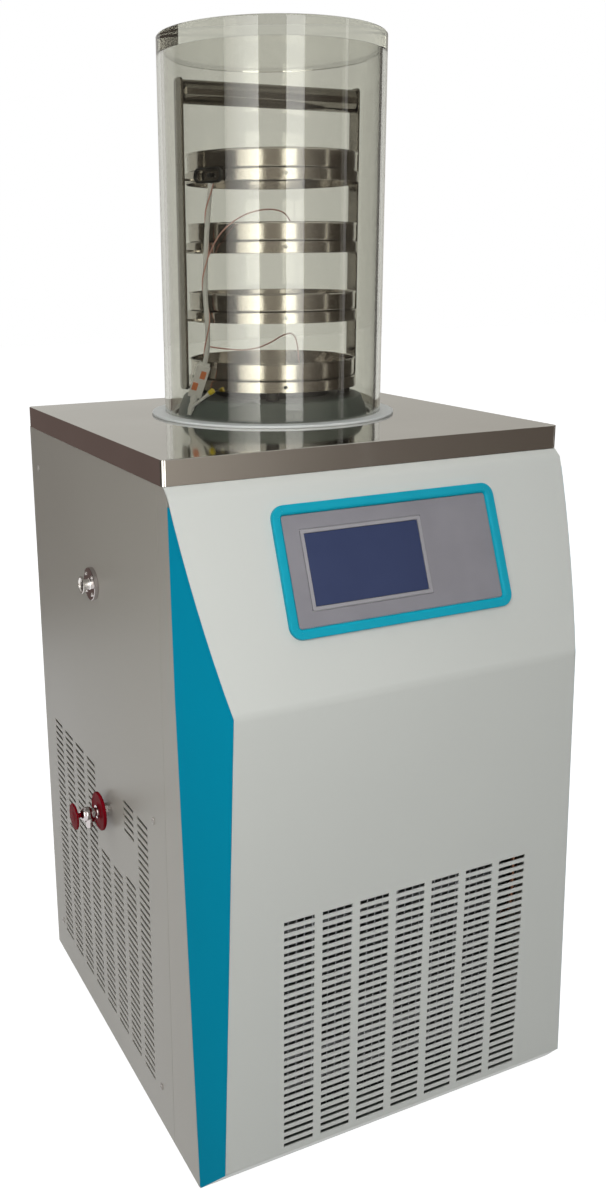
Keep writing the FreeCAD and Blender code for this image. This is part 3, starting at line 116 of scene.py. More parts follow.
world = bpy.data.worlds.new("surround")
world.use_nodes = True
scene.world = world
tree = world.node_tree
tree.nodes.clear()
dim = added(tree, "Background", {"Color": (0.95, 0.97, 1.0, 1), "Strength": 0.38})
bright = added(tree, "Background", {"Color": (1, 1, 1, 1), "Strength": 1.0})
mix = added(tree, "MixShader", {0: seen_directly(tree), 1: dim.outputs[0], 2: bright.outputs[0]})
added(tree, "OutputWorld", {"Surface": mix.outputs[0]})

bpy.ops.object.select_all(action="DESELECT")
bpy.ops.mesh.primitive_plane_add(size=24, location=(0, 0, 0))
floor = bpy.context.object
floor.name = "floor"
material, tree, output = node_material("floor_paint")
paint = added(tree, "BsdfPrincipled", {"Base Color": (0.30, 0.30, 0.295, 1), "Roughness": 0.8,
                                       "Specular IOR Level": 0.2})
lit = added(tree, "Math", {0: seen_directly(tree), 1: 0.92}, operation="MULTIPLY")
glow = added(tree, "Emission", {"Color": (1, 1, 1, 1), "Strength": lit.outputs[0]})
both = added(tree, "AddShader", {0: paint.outputs[0], 1: glow.outputs[0]})
tree.links.new(both.outputs[0], output.inputs["Surface"])
floor.data.materials.append(material)


def lamp(name, place, aim, width, power):
    """A square soft lamp at a place, turned to its aim, that only lights and isn't itself seen."""
    light = bpy.data.lights.new(name, "AREA")
    light.size = width
    light.energy = power
    thing = bpy.data.objects.new(name, light)
    thing.location = place
    thing.rotation_euler = (Vector(aim) - Vector(place)).to_track_quat("-Z", "Y").to_euler()
    thing.visible_camera = False
    thing.visible_glossy = False
    thing.visible_transmission = False
    scene.collection.objects.link(thing)


lamp("key_lamp", (-0.75, -1.3, 1.25), (0.0, -0.2, 0.55), 0.9, 14)
lamp("side_lamp", (-2.6, 0.9, 2.3), (0, 0, 0.8), 1.4, 6)
lamp("top_lamp", (0.3, 0.2, 3.2), (0, 0, 0.8), 1.6, 12)
lamp("back_lamp", (0.7, 2.4, 1.5), (0.05, 0.28, 0.55), 1.2, 14)


def shining(thing, way, start, stop, near, far, strength=1.0, straight=None):
    """Give a card a cloth that shines by itself, in one colour that becomes another along it.

    Where a straight colour is given, the card has that colour, at plain strength, when it is
    seen through the jar and not in a reflection.
    """
    material, tree, output = node_material(thing.name + "_cloth")
    place = added(tree, "TexCoord").outputs["Object"]
    if way == "across":
        along = added(tree, "SeparateXYZ", {"Vector": place}).outputs["X"]
    else:
        along = added(tree, "VectorMath", {0: place}, operation="LENGTH").outputs["Value"]
    shade = two_tone(tree, spread(tree, along, 0, 1, start, stop), near, far)
    if straight:
        depth = added(tree, "LightPath").outputs["Glossy Depth"]
        shade = two_tone(tree, depth, straight, shade)
        strength = spread(tree, depth, 1.0, strength, 0, 1)
    glow = added(tree, "Emission", {"Color": shade, "Strength": strength})
    tree.links.new(glow.outputs[0], output.inputs["Surface"])
    thing.data.materials.append(material)
    thing.visible_camera = False
    thing.visible_diffuse = False
    thing.visible_shadow = False


card_ring, near_ring, card_high = 2.6, 1.8, 2.7
front_from, front_to = 125, 260


def card(name, start, stop, colour, strength=1.0, end_colour=None, through=True, reach=card_ring):
    """An upright card in the ring, from one compass heading to another (0 is straight behind).

    A card in front of the machine is plain white when it is seen through the jar from behind.
    """
    middle = math.radians((start + stop) / 2)
    half = math.radians((stop - start) / 2)
    place = (math.sin(middle) * reach, math.cos(middle) * reach, card_high / 2 + 0.01)
    bpy.ops.object.select_all(action="DESELECT")
    bpy.ops.mesh.primitive_plane_add(size=1, location=place, rotation=(math.pi / 2, 0, -middle))
    thing = bpy.context.object
    thing.name = name
    thing.scale = (2 * reach * math.tan(half), card_high, 1)
    thing.visible_transmission = through
    straight = (1, 1, 1) if front_from < start < front_to else colour
    shining(thing, "across", -0.5, 0.5, colour, end_colour or colour, strength, straight)


dark_wall, brown_wall, tan_wall = (0.075, 0.066, 0.058), (0.10, 0.08, 0.065), (0.17, 0.145, 0.125)
window_white = (1, 0.99, 0.96)
card("back_wall", -12, 62, (0.62, 0.61, 0.58), end_colour=(0.42, 0.40, 0.36), through=False)
card("right_wall", 62, 90, dark_wall)
card("right_front_wall", 90, 128, dark_wall, end_colour=brown_wall)
card("narrow_window", 128, 131.5, (1, 0.97, 0.92), 1.6)
card("front_right_wall", 131.5, 150, brown_wall, end_colour=tan_wall)
card("front_pale_wall", 150, 175, tan_wall, end_colour=(0.60, 0.55, 0.49))
card("right_window", 175, 193, window_white, 4.4)
card("front_wall", 193, 220, (0.50, 0.45, 0.40))
card("left_window", 220, 254, window_white, 5.0, end_colour=(0.30, 0.29, 0.27))
card("left_front_wall", 254, 290, dark_wall, reach=near_ring)
card("left_wall", 290, 320, (0.09, 0.08, 0.07), reach=near_ring)
card("left_back_wall", 320, 348, (0.15, 0.11, 0.10), reach=near_ring, through=False)
bpy.ops.object.select_all(action="DESELECT")
bpy.ops.mesh.primitive_plane_add(size=4.4, location=(0, 0, 2.72), rotation=(math.pi, 0, 0))
ceiling = bpy.context.object
ceiling.name = "ceiling"
shining(ceiling, "outward", 0.55, 1.1, (0.15, 0.14, 0.125), (0.60, 0.59, 0.56))

# ------------------------------------------------------------------ steel top
# One sheet of polished stainless steel, folded down all round, with the mouth of the
# cold trap cut in it. It keeps the faint straight grain of the polishing belt.


def alone(thing):
    """Choose one piece and no other."""
    bpy.ops.object.select_all(action="DESELECT")
    bpy.context.view_layer.objects.active = thing
    thing.select_set(True)


def opened(thing):
    """Go into edit mode on one piece, with nothing chosen."""
    alone(thing)
    bpy.ops.object.mode_set(mode="EDIT")
    bpy.ops.mesh.select_all(action="DESELECT")


def choose(thing, kind, test):
    """In edit mode, choose the edges or faces whose corners pass a test."""
    bpy.ops.mesh.select_mode(type={"edges": "EDGE", "faces": "FACE"}[kind])
    bpy.ops.mesh.select_all(action="DESELECT")
    mesh = bmesh.from_edit_mesh(thing.data)
    for item in getattr(mesh, kind):
        if test([corner.co for corner in item.verts]):
            item.select_set(True)
    bmesh.update_edit_mesh(thing.data)


def upright(corners):
    """Whether an edge stands straight up."""
    return abs(corners[0].x - corners[1].x) < 1e-5 and abs(corners[0].y - corners[1].y) < 1e-5


def applied(thing, kind, **settings):
    """Add a modifier with its settings and apply it."""
    alone(thing)
    modifier = thing.modifiers.new(kind.lower(), kind)
    for key, value in settings.items():
        setattr(modifier, key, value)
    bpy.ops.object.modifier_apply(modifier=modifier.name)


def softened(thing, width, segments=2, angle=30):
    """Round every sharp edge a little, as a deburred or moulded edge is."""
    applied(thing, "BEVEL", width=width, segments=segments, limit_method="ANGLE",
            angle_limit=math.radians(angle))


def settled(thing):
    """Take a piece's place, turn and scale into its mesh."""
    alone(thing)
    bpy.ops.object.transform_apply(location=True, rotation=True, scale=True)


def block(size, place=(0, 0, 0)):
    """A plain block of a size, round its middle."""
    bpy.ops.object.select_all(action="DESELECT")
    bpy.ops.mesh.primitive_cube_add(size=1, location=place)
    thing = bpy.context.object
    thing.scale = size
    settled(thing)
    return thing


def rod(radius, length, place, turn=(0, 0, 0), steps=128):
    """A plain round rod, round its middle."""
    bpy.ops.object.select_all(action="DESELECT")
    bpy.ops.mesh.primitive_cylinder_add(vertices=steps, radius=radius, depth=length, location=place,
                                        rotation=turn)
    return bpy.context.object


def cut(thing, punch, **settings):
    """Cut one piece out of another."""
    applied(thing, "BOOLEAN", operation="DIFFERENCE", object=punch, **settings)
    bpy.data.objects.remove(punch)


def finished(thing, name, material, replaced=(), body="cabinet", angle=35):
    """Settle a piece in its place, smooth it, and give it its name, finish and body."""
    thing.name = name
    thing.data.name = name
    settled(thing)
    bpy.ops.object.shade_smooth_by_angle(angle=math.radians(angle))
    applied(thing, "WEIGHTED_NORMAL", keep_sharp=True, weight=100)
    thing.data.materials.clear()
    thing.data.materials.append(material)
    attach(thing, body)
    if replaced:
        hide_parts(*replaced)


def coordinates(tree, scale=(1, 1, 1)):
    """Object coordinates through a mapping, for a pattern on a piece."""
    place = added(tree, "TexCoord").outputs["Object"]
    return added(tree, "Mapping", {"Vector": place, "Scale": scale}).outputs["Vector"]


def noise(tree, vector, scale, detail):
    """A cloudy pattern, which is a grain where its scale is large."""
    return added(tree, "TexNoise",
                 {"Vector": vector, "Scale": scale, "Detail": detail}).outputs["Fac"]


def bumped(tree, height, strength, distance):
    """The surface's direction over a pattern's hills and hollows."""
    hills = added(tree, "Bump", {"Height": height, "Strength": strength, "Distance": distance})
    return hills.outputs["Normal"]


def metal(name, dark, light, rough_low, rough_high, grain=(1, 1, 1), grain_scale=300.0,
          depth=0.00002):
    """Bare metal: slightly uneven colour and gloss, with a grain stretched along the belt."""
    material, tree, output = node_material(name)
    grained = noise(tree, coordinates(tree, grain), grain_scale, 4)
    cloud = noise(tree, coordinates(tree), 9.0, 2)
    shader = added(tree, "BsdfPrincipled", {
        "Metallic": 1.0,
        "Base Color": two_tone(tree, spread(tree, cloud, 0, 1), dark, light),
        "Roughness": spread(tree, grained, rough_low, rough_high),
        "Normal": bumped(tree, grained, 0.3, depth)})
    tree.links.new(shader.outputs[0], output.inputs["Surface"])
    return material


polished_sheet = metal("polished_sheet", (0.60, 0.585, 0.55), (0.65, 0.635, 0.60), 0.05, 0.10,
                       (1, 40, 40), 60.0, 0.000008)
top_low, top_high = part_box("steel_top_plate")
top_sheet, top_corner, top_fold = 0.0015, 0.0045, 0.001
jar_axis = Vector((0.0357, 0.0711, 0))
trap_mouth = 0.097
steel_top = block(top_high - top_low, (top_low + top_high) / 2)
opened(steel_top)
choose(steel_top, "edges", upright)
bpy.ops.mesh.bevel(offset=top_corner, segments=8, affect="EDGES")
choose(steel_top, "faces", lambda c: all(p.z < top_low.z + 1e-4 for p in c))
bpy.ops.mesh.delete(type="FACE")
choose(steel_top, "edges", lambda c: all(p.z > top_high.z - 1e-4 for p in c))
bpy.ops.mesh.bevel(offset=top_fold, segments=4, affect="EDGES")
bpy.ops.object.mode_set(mode="OBJECT")
applied(steel_top, "SOLIDIFY", thickness=top_sheet, offset=-1)
cut(steel_top, rod(trap_mouth, 0.05, jar_axis + Vector((0, 0, top_high.z))))
finished(steel_top, "steel_top", polished_sheet, ["steel_top_plate"])

# ------------------------------------------------------------------ front panel
# One sheet with the slanted face over the upright one and the grille punched in it, bent
# on a press brake, so its folds are soft. It has a smooth warm white powder coat.


def coat(name, dark, light, rough=0.4, specular=0.4, lacquer=0.12):
    """Powder coat: a very fine orange peel and a hardly visible drift of the shade."""
    material, tree, output = node_material(name)
    peel = noise(tree, coordinates(tree), 900.0, 2)
    drift = noise(tree, coordinates(tree), 3.0, 2)
    shader = added(tree, "BsdfPrincipled", {
        "Base Color": two_tone(tree, spread(tree, drift, 0, 1), dark, light),
        "Roughness": spread(tree, drift, rough - 0.03, rough + 0.03),
        "Specular IOR Level": specular,
        "Coat Weight": lacquer,
        "Coat Roughness": 0.3,
        "Normal": bumped(tree, peel, 0.25, 0.00003)})
    tree.links.new(shader.outputs[0], output.inputs["Surface"])
    return material


def merged_copy(node):
    """A copy of a CAD node with its loose triangles merged back into flat faces."""
    thing = bpy.data.objects.new(node + "_piece", nodes[node].data.copy())
    scene.collection.objects.link(thing)
    opened(thing)
    bpy.ops.mesh.select_all(action="SELECT")
    bpy.ops.mesh.remove_doubles(threshold=0.000002)
    bpy.ops.mesh.mark_sharp(clear=True)
    bpy.ops.mesh.customdata_custom_splitnormals_clear()
    bpy.ops.mesh.dissolve_limited(angle_limit=math.radians(0.2))
    bpy.ops.object.mode_set(mode="OBJECT")
    return thing


white_coat = coat("white_coat", (0.585, 0.597, 0.558), (0.605, 0.618, 0.578))
fold_high, shoulder_high, toe_high = 0.568, 0.772, 0.0525
fold_radius, shoulder_radius, toe_radius = 0.005, 0.003, 0.002
front = merged_copy("front_panel")
opened(front)
for height, radius in ((fold_high, fold_radius), (shoulder_high, shoulder_radius),
                       (toe_high, toe_radius)):
    choose(front, "edges", lambda c: abs(c[0].x - c[1].x) > 0.01
           and all(abs(p.z - height) < 0.0003 for p in c))
    bpy.ops.mesh.bevel(offset=radius, segments=5, affect="EDGES")
bpy.ops.object.mode_set(mode="OBJECT")
finished(front, "front_sheet", white_coat, ["front_panel"], angle=30)

# ------------------------------------------------------------------ corner facets
# A narrow blue sheet closes each front corner. It is pointed at both ends, and its long
# edge bows a little beside the slanted face.
blue_coat = coat("blue_coat", (0.0, 0.265, 0.41), (0.0, 0.28, 0.435), 0.55, specular=0.03,
                 lacquer=0.0)
for side in ("left", "right"):
    facet = merged_copy(side + "_corner_facet")
    finished(facet, side + "_facet_sheet", blue_coat, [side + "_corner_facet"],
             angle=25)

# ------------------------------------------------------------------ sides and back
# Gray powder-coated panels, screwed to the frame, with columns of louvres for the warm
# air. Their edges are cut clean and show as thin seams.
gray_coat = coat("gray_coat", (0.375, 0.352, 0.305), (0.395, 0.372, 0.322), specular=0.3)
for node in ("left_cheek", "right_cheek", "left_side_panel", "right_side_panel", "back_panel"):
    finished(merged_copy(node), node + "_sheet", gray_coat, [node])

# ------------------------------------------------------------------ control panel
# A moulded blue frame lies on the slanted face round a gray film overlay. A dark touch
# screen, switched off, sits in a thin pale border in the film.


def plastic(name, dark, light, rough, grain=600.0, depth=0.00005, specular=0.5):
    """Moulded plastic with a fine spark-eroded grain."""
    material, tree, output = node_material(name)
    fine = noise(tree, coordinates(tree), grain, 2)
    cloud = noise(tree, coordinates(tree), 20.0, 2)
    shader = added(tree, "BsdfPrincipled", {
        "Base Color": two_tone(tree, spread(tree, cloud, 0, 1), dark, light),
        "Roughness": spread(tree, fine, rough - 0.04, rough + 0.04),
        "Specular IOR Level": specular,
        "Normal": bumped(tree, fine, 0.2, depth)})
    tree.links.new(shader.outputs[0], output.inputs["Surface"])
    return material


blue_plastic = plastic("blue_plastic", (0.0, 0.33, 0.45), (0.0, 0.35, 0.475), 0.45, specular=0.12)
overlay_film = plastic("overlay_film", (0.205, 0.195, 0.215), (0.230, 0.220, 0.240), 0.5)
border_plastic = plastic("border_plastic", (0.27, 0.26, 0.275), (0.30, 0.29, 0.305), 0.5)
screen_glass = plastic("screen_glass", (0.024, 0.036, 0.097), (0.028, 0.041, 0.107), 0.45, 40.0,
                       0.0, specular=0.25)


def framed_slab(wide, long, low, high, corner, band):
    """A flat frame with round corners, between two heights. It is left in edit mode."""
    thing = block((wide, long, high - low), (0, 0, (low + high) / 2))
    opened(thing)
    choose(thing, "edges", upright)
    bpy.ops.mesh.bevel(offset=corner, segments=8, affect="EDGES")
    choose(thing, "faces", lambda c: all(p.z > high - 1e-6 for p in c)
           or all(p.z < low + 1e-6 for p in c))
    bpy.ops.mesh.inset(thickness=band)
    bpy.ops.mesh.bridge_edge_loops()
    return thing


frame_wide, frame_long, frame_proud, frame_band, frame_corner = 0.269, 0.135, 0.005, 0.0105, 0.014
inner_lip, outer_round = 0.0036, 0.0012
inner_x, inner_y = frame_wide / 2 - frame_band, frame_long / 2 - frame_band
slope_middle, slope_from_level = Vector((0.021, -0.23325, 0.690)), 90 - 21.17


def on_opening(point):
    """Whether a point of the frame's top lies on the edge of its opening."""
    within = abs(point.x) < inner_x + 1e-4 and abs(point.y) < inner_y + 1e-4
    return point.z > frame_proud - 1e-6 and within


def on_outline(point):
    """Whether a point of the frame's top lies on its outer edge, or in the round of a corner."""
    out_x, out_y = abs(point.x) - frame_wide / 2, abs(point.y) - frame_long / 2
    on_edge = max(out_x, out_y) > -1e-4 or min(out_x, out_y) > -frame_corner
    clear_of_lip = abs(point.x) > inner_x + 0.003 or abs(point.y) > inner_y + 0.003
    return point.z > frame_proud - 1e-6 and on_edge and clear_of_lip


blue_frame = framed_slab(frame_wide, frame_long, 0.0, frame_proud, frame_corner, frame_band)
choose(blue_frame, "edges", lambda c: all(on_opening(p) for p in c))
bpy.ops.mesh.bevel(offset=inner_lip, segments=3, affect="EDGES")
choose(blue_frame, "edges", lambda c: all(on_outline(p) for p in c))
bpy.ops.mesh.bevel(offset=outer_round, segments=3, affect="EDGES")
bpy.ops.object.mode_set(mode="OBJECT")
blue_frame.rotation_euler = (math.radians(slope_from_level), 0, 0)
blue_frame.location = slope_middle
finished(blue_frame, "blue_frame", blue_plastic, ["display_frame"])

for node, name, material, slot in (
        ("display_overlay", "film_overlay", overlay_film, "gray_overlay"),
        ("screen_border", "pale_border", border_plastic, "light_border"),
        ("touch_screen", "touch_glass", screen_glass, "screen")):
    thing = merged_copy(node)
    softened(thing, 0.0004, 2, 40)
    finished(thing, name, material, [node])

# ------------------------------------------------------------------ bell jar
# A thick clear acrylic tube with a flat lid bonded on, turned and polished all over, and
# slightly smoky. It is lifted off by hand and stands by its own weight.


def turned(profile, ring=False, steps=128, widen=0.0):
    """A turned piece about the Z axis: a circle drawn on from ring to ring of (radius, height)."""
    bpy.ops.object.select_all(action="DESELECT")
    radius, height = profile[0]
    bpy.ops.mesh.primitive_circle_add(vertices=steps, radius=radius,
                                      fill_type="NOTHING" if ring else "NGON",
                                      location=(0, 0, 0))
    thing = bpy.context.object
    bpy.ops.object.mode_set(mode="EDIT")
    bpy.ops.mesh.select_mode(type="EDGE" if ring else "FACE")
    bpy.ops.mesh.select_all(action="SELECT")
    bpy.ops.transform.translate(value=(0, 0, height))
    for new_radius, new_height in profile[1:] + (profile[:1] if ring else []):
        rise = (0, 0, new_height - height)
        bpy.ops.mesh.extrude_region_move(TRANSFORM_OT_translate={"value": rise})
        grow = new_radius / radius
        bpy.ops.transform.resize(value=(grow, grow, 1), center_override=(0, 0, new_height))
        radius, height = new_radius, new_height
    bpy.ops.mesh.select_all(action="SELECT")
    bpy.ops.mesh.remove_doubles(threshold=0.00001)
    bpy.ops.mesh.normals_make_consistent(inside=False)
    bpy.ops.object.mode_set(mode="OBJECT")
    if widen:
        softened(thing, widen)
    return thing


acrylic, tree, output = node_material("clear_acrylic")
haze = noise(tree, coordinates(tree, (1, 1, 0.25)), 16.0, 2)
clear = added(tree, "BsdfPrincipled", {
    "Base Color": (0.695, 0.695, 0.64, 1),
    "IOR": 1.49,
    "Transmission Weight": 1.0,
    "Roughness": spread(tree, haze, 0.0, 0.02, 0.5, 0.9)})
shaded = added(tree, "BsdfTransparent", {"Color": (0.86, 0.86, 0.83, 1)})
is_shadow = added(tree, "LightPath").outputs["Is Shadow Ray"]
mix = added(tree, "MixShader", {0: is_shadow, 1: clear.outputs[0], 2: shaded.outputs[0]})
tree.links.new(mix.outputs[0], output.inputs["Surface"])
body_tint = added(tree, "VolumeAbsorption", {"Color": (0.55, 0.55, 0.48, 1), "Density": 4.0})
tree.links.new(body_tint.outputs[0], output.inputs["Volume"])
jar_radius, jar_bore, jar_foot, jar_top = 0.133, 0.125, 0.809, 1.236
jar_lid, lid_chamfer = 0.020, 0.0015
jar = turned([(jar_bore, jar_top - jar_lid), (jar_bore, jar_foot), (jar_radius, jar_foot),
              (jar_radius, jar_top - lid_chamfer), (jar_radius - lid_chamfer, jar_top)], steps=192)
softened(jar, 0.0005, 2, 40)
jar.location = jar_axis
finished(jar, "jar", acrylic, ["bell_jar"], angle=30)

# ------------------------------------------------------------------ seal
# A flat ring of soft gray rubber lies loose round the mouth of the cold trap, and the
# jar's polished foot presses it flat.
seal_rubber = plastic("seal_rubber", (0.60, 0.62, 0.60), (0.66, 0.68, 0.66), 0.42)
seal_bore, seal_radius, seal_low, seal_high = 0.1205, 0.149, 0.806, 0.809
seal = turned([(seal_bore, seal_low), (seal_radius, seal_low), (seal_radius, seal_high),
               (seal_bore, seal_high)], ring=True, widen=0.0009)
seal.location = jar_axis
finished(seal, "seal_ring", seal_rubber, ["jar_seal"])

# ------------------------------------------------------------------ rack foot
# A turned ring of gray plastic carries the rack over the mouth. Four round black posts
# stand on it and space the lowest shelf.
dark_plastic = plastic("dark_plastic", (0.012, 0.012, 0.012), (0.02, 0.02, 0.02), 0.45)
foot_plastic = plastic("foot_plastic", (0.125, 0.15, 0.145), (0.155, 0.175, 0.17), 0.42)
foot_bore, foot_low, foot_high = 0.070, 0.806, 0.830
foot = turned([(foot_bore, foot_low), (0.1165, foot_low), (0.117, 0.8075), (0.1165, 0.810),
               (0.1105, 0.8265), (0.108, 0.8295), (foot_bore, foot_high)], ring=True, widen=0.0009)
foot.location = jar_axis
finished(foot, "rack_foot", foot_plastic, ["rack_foot_ring"])
post_low, post_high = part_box("rack_posts")
post_radius, post_ring, first_post = 0.0075, 0.0885, 63
post = turned([(post_radius, post_low.z), (post_radius, post_high.z)], steps=40, widen=0.0008)


def another(thing, shift=(0, 0, 0), turn=(0, 0, 0)):
    """One more of a piece, with its own mesh, moved or turned from where the first stands."""
    alone(thing)
    bpy.ops.object.duplicate(linked=False)
    twin = bpy.context.object
    twin.location = thing.location + Vector(shift)
    twin.rotation_euler = [a + b for a, b in zip(thing.rotation_euler, turn)]
    return twin


def joined(things):
    """Several shells made one piece."""
    bpy.ops.object.select_all(action="DESELECT")
    for thing in things:
        thing.select_set(True)
    bpy.context.view_layer.objects.active = things[0]
    bpy.ops.object.transform_apply(location=True, rotation=True, scale=True)
    bpy.ops.object.join()
    return bpy.context.object


def set_out(thing, places):
    """Copies of a piece at several places, each a shift and a turn, made one piece."""
    copies = [another(thing, *place) for place in places]
    bpy.data.objects.remove(thing)
    return joined(copies)


headings = [math.radians(first_post + 90 * quarter) for quarter in range(4)]
posts = set_out(post, [(jar_axis + Vector((math.cos(heading), math.sin(heading), 0)) * post_ring,)
                       for heading in headings])
finished(posts, "foot_posts", dark_plastic, ["rack_posts"])

# ------------------------------------------------------------------ shelves and trays
# Four pans pressed from steel sheet and turned upside down, with a lug each side for
# the legs. A loose tray with a curled rim stands on each, and both are polished.
rack_steel = metal("rack_steel", (0.56, 0.53, 0.495), (0.64, 0.61, 0.575), 0.13, 0.20, (1, 1, 30),
                   90.0, 0.000005)
shelf_radius, shelf_rim, shelf_sheet = 0.103, 0.0125, 0.0015
lug_size, lug_out, lug_up = (0.0117, 0.016, 0.003), 0.10765, 0.0025
sensor_hole, hole_place = 0.0022, Vector((-0.033, -0.0975, shelf_rim / 2))
tray_radius, tray_high, tray_wall = 0.100, 0.021, 0.001
curl, bend, half_bend = 0.0011, 0.003, 0.0009
for level in range(1, 5):
    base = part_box(f"shelf_{level}")[0].z
    under, rim = shelf_radius - shelf_sheet, base + shelf_rim
    pan = turned([(under - 0.001, rim - shelf_sheet), (under, rim - shelf_sheet - 0.001),
                  (under, base), (shelf_radius, base), (shelf_radius, rim - 0.002),
                  (shelf_radius - 0.0006, rim - 0.0006), (shelf_radius - 0.002, rim)])
    pan.location = jar_axis
    lugs = [block(lug_size, jar_axis + Vector((side * lug_out, 0, base + lug_up)))
            for side in (-1, 1)]
    for lug in lugs:
        softened(lug, 0.0005)
    shelf = joined([pan] + lugs)
    drill = rod(sensor_hole, 0.02, jar_axis + hole_place + Vector((0, 0, base)),
                (math.pi / 2, 0, 0), 24)
    cut(shelf, drill, solver="EXACT", use_self=True)
    finished(shelf, f"rack_shelf_{level}", rack_steel, [f"shelf_{level}"])

    floor_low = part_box(f"tray_{level}")[0].z
    lip = floor_low + tray_high - curl
    inner = tray_radius - tray_wall
    roll = [(inner + curl - curl * math.cos(a), lip + curl * math.sin(a))
            for a in (math.radians(45 * step) for step in range(6))]
    tray = turned([(inner - bend, floor_low + tray_wall),
                   (inner - half_bend, floor_low + tray_wall + half_bend),
                   (inner, floor_low + tray_wall + bend)] + roll
                  + [(tray_radius, lip - curl), (tray_radius, floor_low + bend),
                     (tray_radius - half_bend, floor_low + half_bend),
                     (tray_radius - bend, floor_low)])
    tray.location = jar_axis
    finished(tray, f"rack_tray_{level}", rack_steel, [f"tray_{level}"])

# ------------------------------------------------------------------ legs and handle
# Two flat steel strips stand outside the shelf lugs and hold them up. A round polished
# bar between their tops is the handle that lifts the whole rack.
leg_low, leg_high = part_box("rack_legs")
# The strips and the bar get a much darker colour than bare steel: painted shade that stands in for
# the dark reflections they show.
steel_painted_dark_reflection = metal("steel_painted_dark_reflection", (0.24, 0.225, 0.20), (0.31, 0.29, 0.26), 0.10, 0.18, (1, 1, 30),
                    90.0)
leg_thick, leg_wide, leg_corner, leg_out = 0.003, 0.020, 0.005, 0.115
leg_middle = (leg_low.z + leg_high.z) / 2
legs = [block((leg_thick, leg_wide, leg_high.z - leg_low.z),
              jar_axis + Vector((side * leg_out, 0, leg_middle))) for side in (-1, 1)]
for leg in legs:
    opened(leg)
    choose(leg, "edges", lambda c: abs(c[0].x - c[1].x) > 0.002)
    bpy.ops.mesh.bevel(offset=leg_corner, segments=6, affect="EDGES")
    bpy.ops.object.mode_set(mode="OBJECT")
    softened(leg, 0.0004)
finished(joined(legs), "rack_strips", steel_painted_dark_reflection, ["rack_legs"])
grip_low, grip_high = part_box("rack_handle")
grip_half, grip_radius = (grip_high.x - grip_low.x) / 2, (grip_high.z - grip_low.z) / 2
grip_chamfer = 0.003
grip = turned([(grip_radius - grip_chamfer, -grip_half), (grip_radius, -grip_half + grip_chamfer),
               (grip_radius, grip_half - grip_chamfer), (grip_radius - grip_chamfer, grip_half)],
              steps=96)
softened(grip, 0.0006)
grip.rotation_euler = (0, math.pi / 2, 0)
grip.location = (Vector(grip_low) + Vector(grip_high)) / 2
finished(grip, "rack_grip", steel_painted_dark_reflection, ["rack_handle"])

# ------------------------------------------------------------------ sensor leads
# Two thin pink leads run from the trays to a white sleeve, the bundle, which hangs down
# inside the jar from a spring clip and ends in a plug by the steel top.
white_sleeve = plastic("white_sleeve", (0.84, 0.83, 0.82), (0.90, 0.89, 0.88), 0.45)
pink_sleeve = plastic("pink_sleeve", (0.62, 0.33, 0.28), (0.68, 0.38, 0.33), 0.5)
top_height = 0.806
bundle_run = [(-97.5, -42.5, 265.7), (-100.5, -38.5, 222), (-102, -35.5, 180), (-102.5, -34, 145),
              (-101, -36.5, 110), (-101, -36.3, 78), (-105, -29.4, 57.8)]
upper_run = [(-100.3, -39.6, 186), (-96, -50, 207), (-82, -69, 226), (-60, -76, 236),
             (-34, -75, 238), (-13, -68, 231), (-3, -61, 213)]
lower_run = [(-99.9, -40, 86), (-84, -54, 83), (-60, -62, 82), (-38, -64, 88), (-18, -62, 98),
             (-2, -58, 100), (6, -55, 84), (8, -54, 62)]


def in_jar(point):
    """A place in the machine's frame, in millimetres from the jar's axis and the steel top."""
    return jar_axis + Vector(point) / 1000 + Vector((0, 0, top_height))


def soft_line(name, run, diameter, material, node):
    """A lead on one smooth spline through its route."""
    curve = bpy.data.curves.new(name, "CURVE")
    curve.dimensions = "3D"
    curve.bevel_depth = diameter / 2
    curve.bevel_resolution = 5
    curve.use_fill_caps = True
    curve.resolution_u = 10
    spline = curve.splines.new("NURBS")
    spline.points.add(len(run) - 1)
    for point, place in zip(spline.points, run):
        point.co = (*in_jar(place), 1)
    spline.order_u = 3
    spline.use_endpoint_u = True
    curve.materials.append(material)
    thing = bpy.data.objects.new(name, curve)
    scene.collection.objects.link(thing)
    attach(thing, "cabinet")
    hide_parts(node)
    return thing


bundle_thick, lead_thick = 0.0055, 0.0016
bundle = soft_line("lead_bundle", bundle_run, bundle_thick, white_sleeve,
                   "sensor_bundle")
upper_lead = soft_line("lead_upper", upper_run, lead_thick, pink_sleeve,
                       "sensor_lead_upper")
lower_lead = soft_line("lead_lower", lower_run, lead_thick, pink_sleeve,
                       "sensor_lead_lower")

# ------------------------------------------------------------------ sensor plug
# The bundle ends in a flat white connector with two orange latches, and from it a tail
# goes down to the steel top. A spare terminal beside it wears a yellow cap.
plug_wide, plug_thick, plug_overlap, tail_overlap = 0.0150, 0.0070, 0.006, 0.002
collar_step, collar_long, mouth_rim, mouth_deep = 0.0016, 0.004, 0.0018, 0.003
latch_size, latch_out = (0.0060, 0.0018, 0.0095), 0.0036
bundle_end = in_jar(bundle_run[-1])
plug_end, tail_end = in_jar((-111.1, -18.8, 27)), in_jar((-119, -21, 4.5))


def laid_along(thing, start, end, facing=(0, -1, 0)):
    """Stand a piece made up the Z axis from the origin on one point, to point at another."""
    up = (Vector(end) - Vector(start)).normalized()
    side = Vector(facing).cross(up).normalized()
    laid = Matrix((side, up.cross(side), up)).transposed().to_4x4()
    thing.matrix_world = Matrix.Translation(start) @ laid


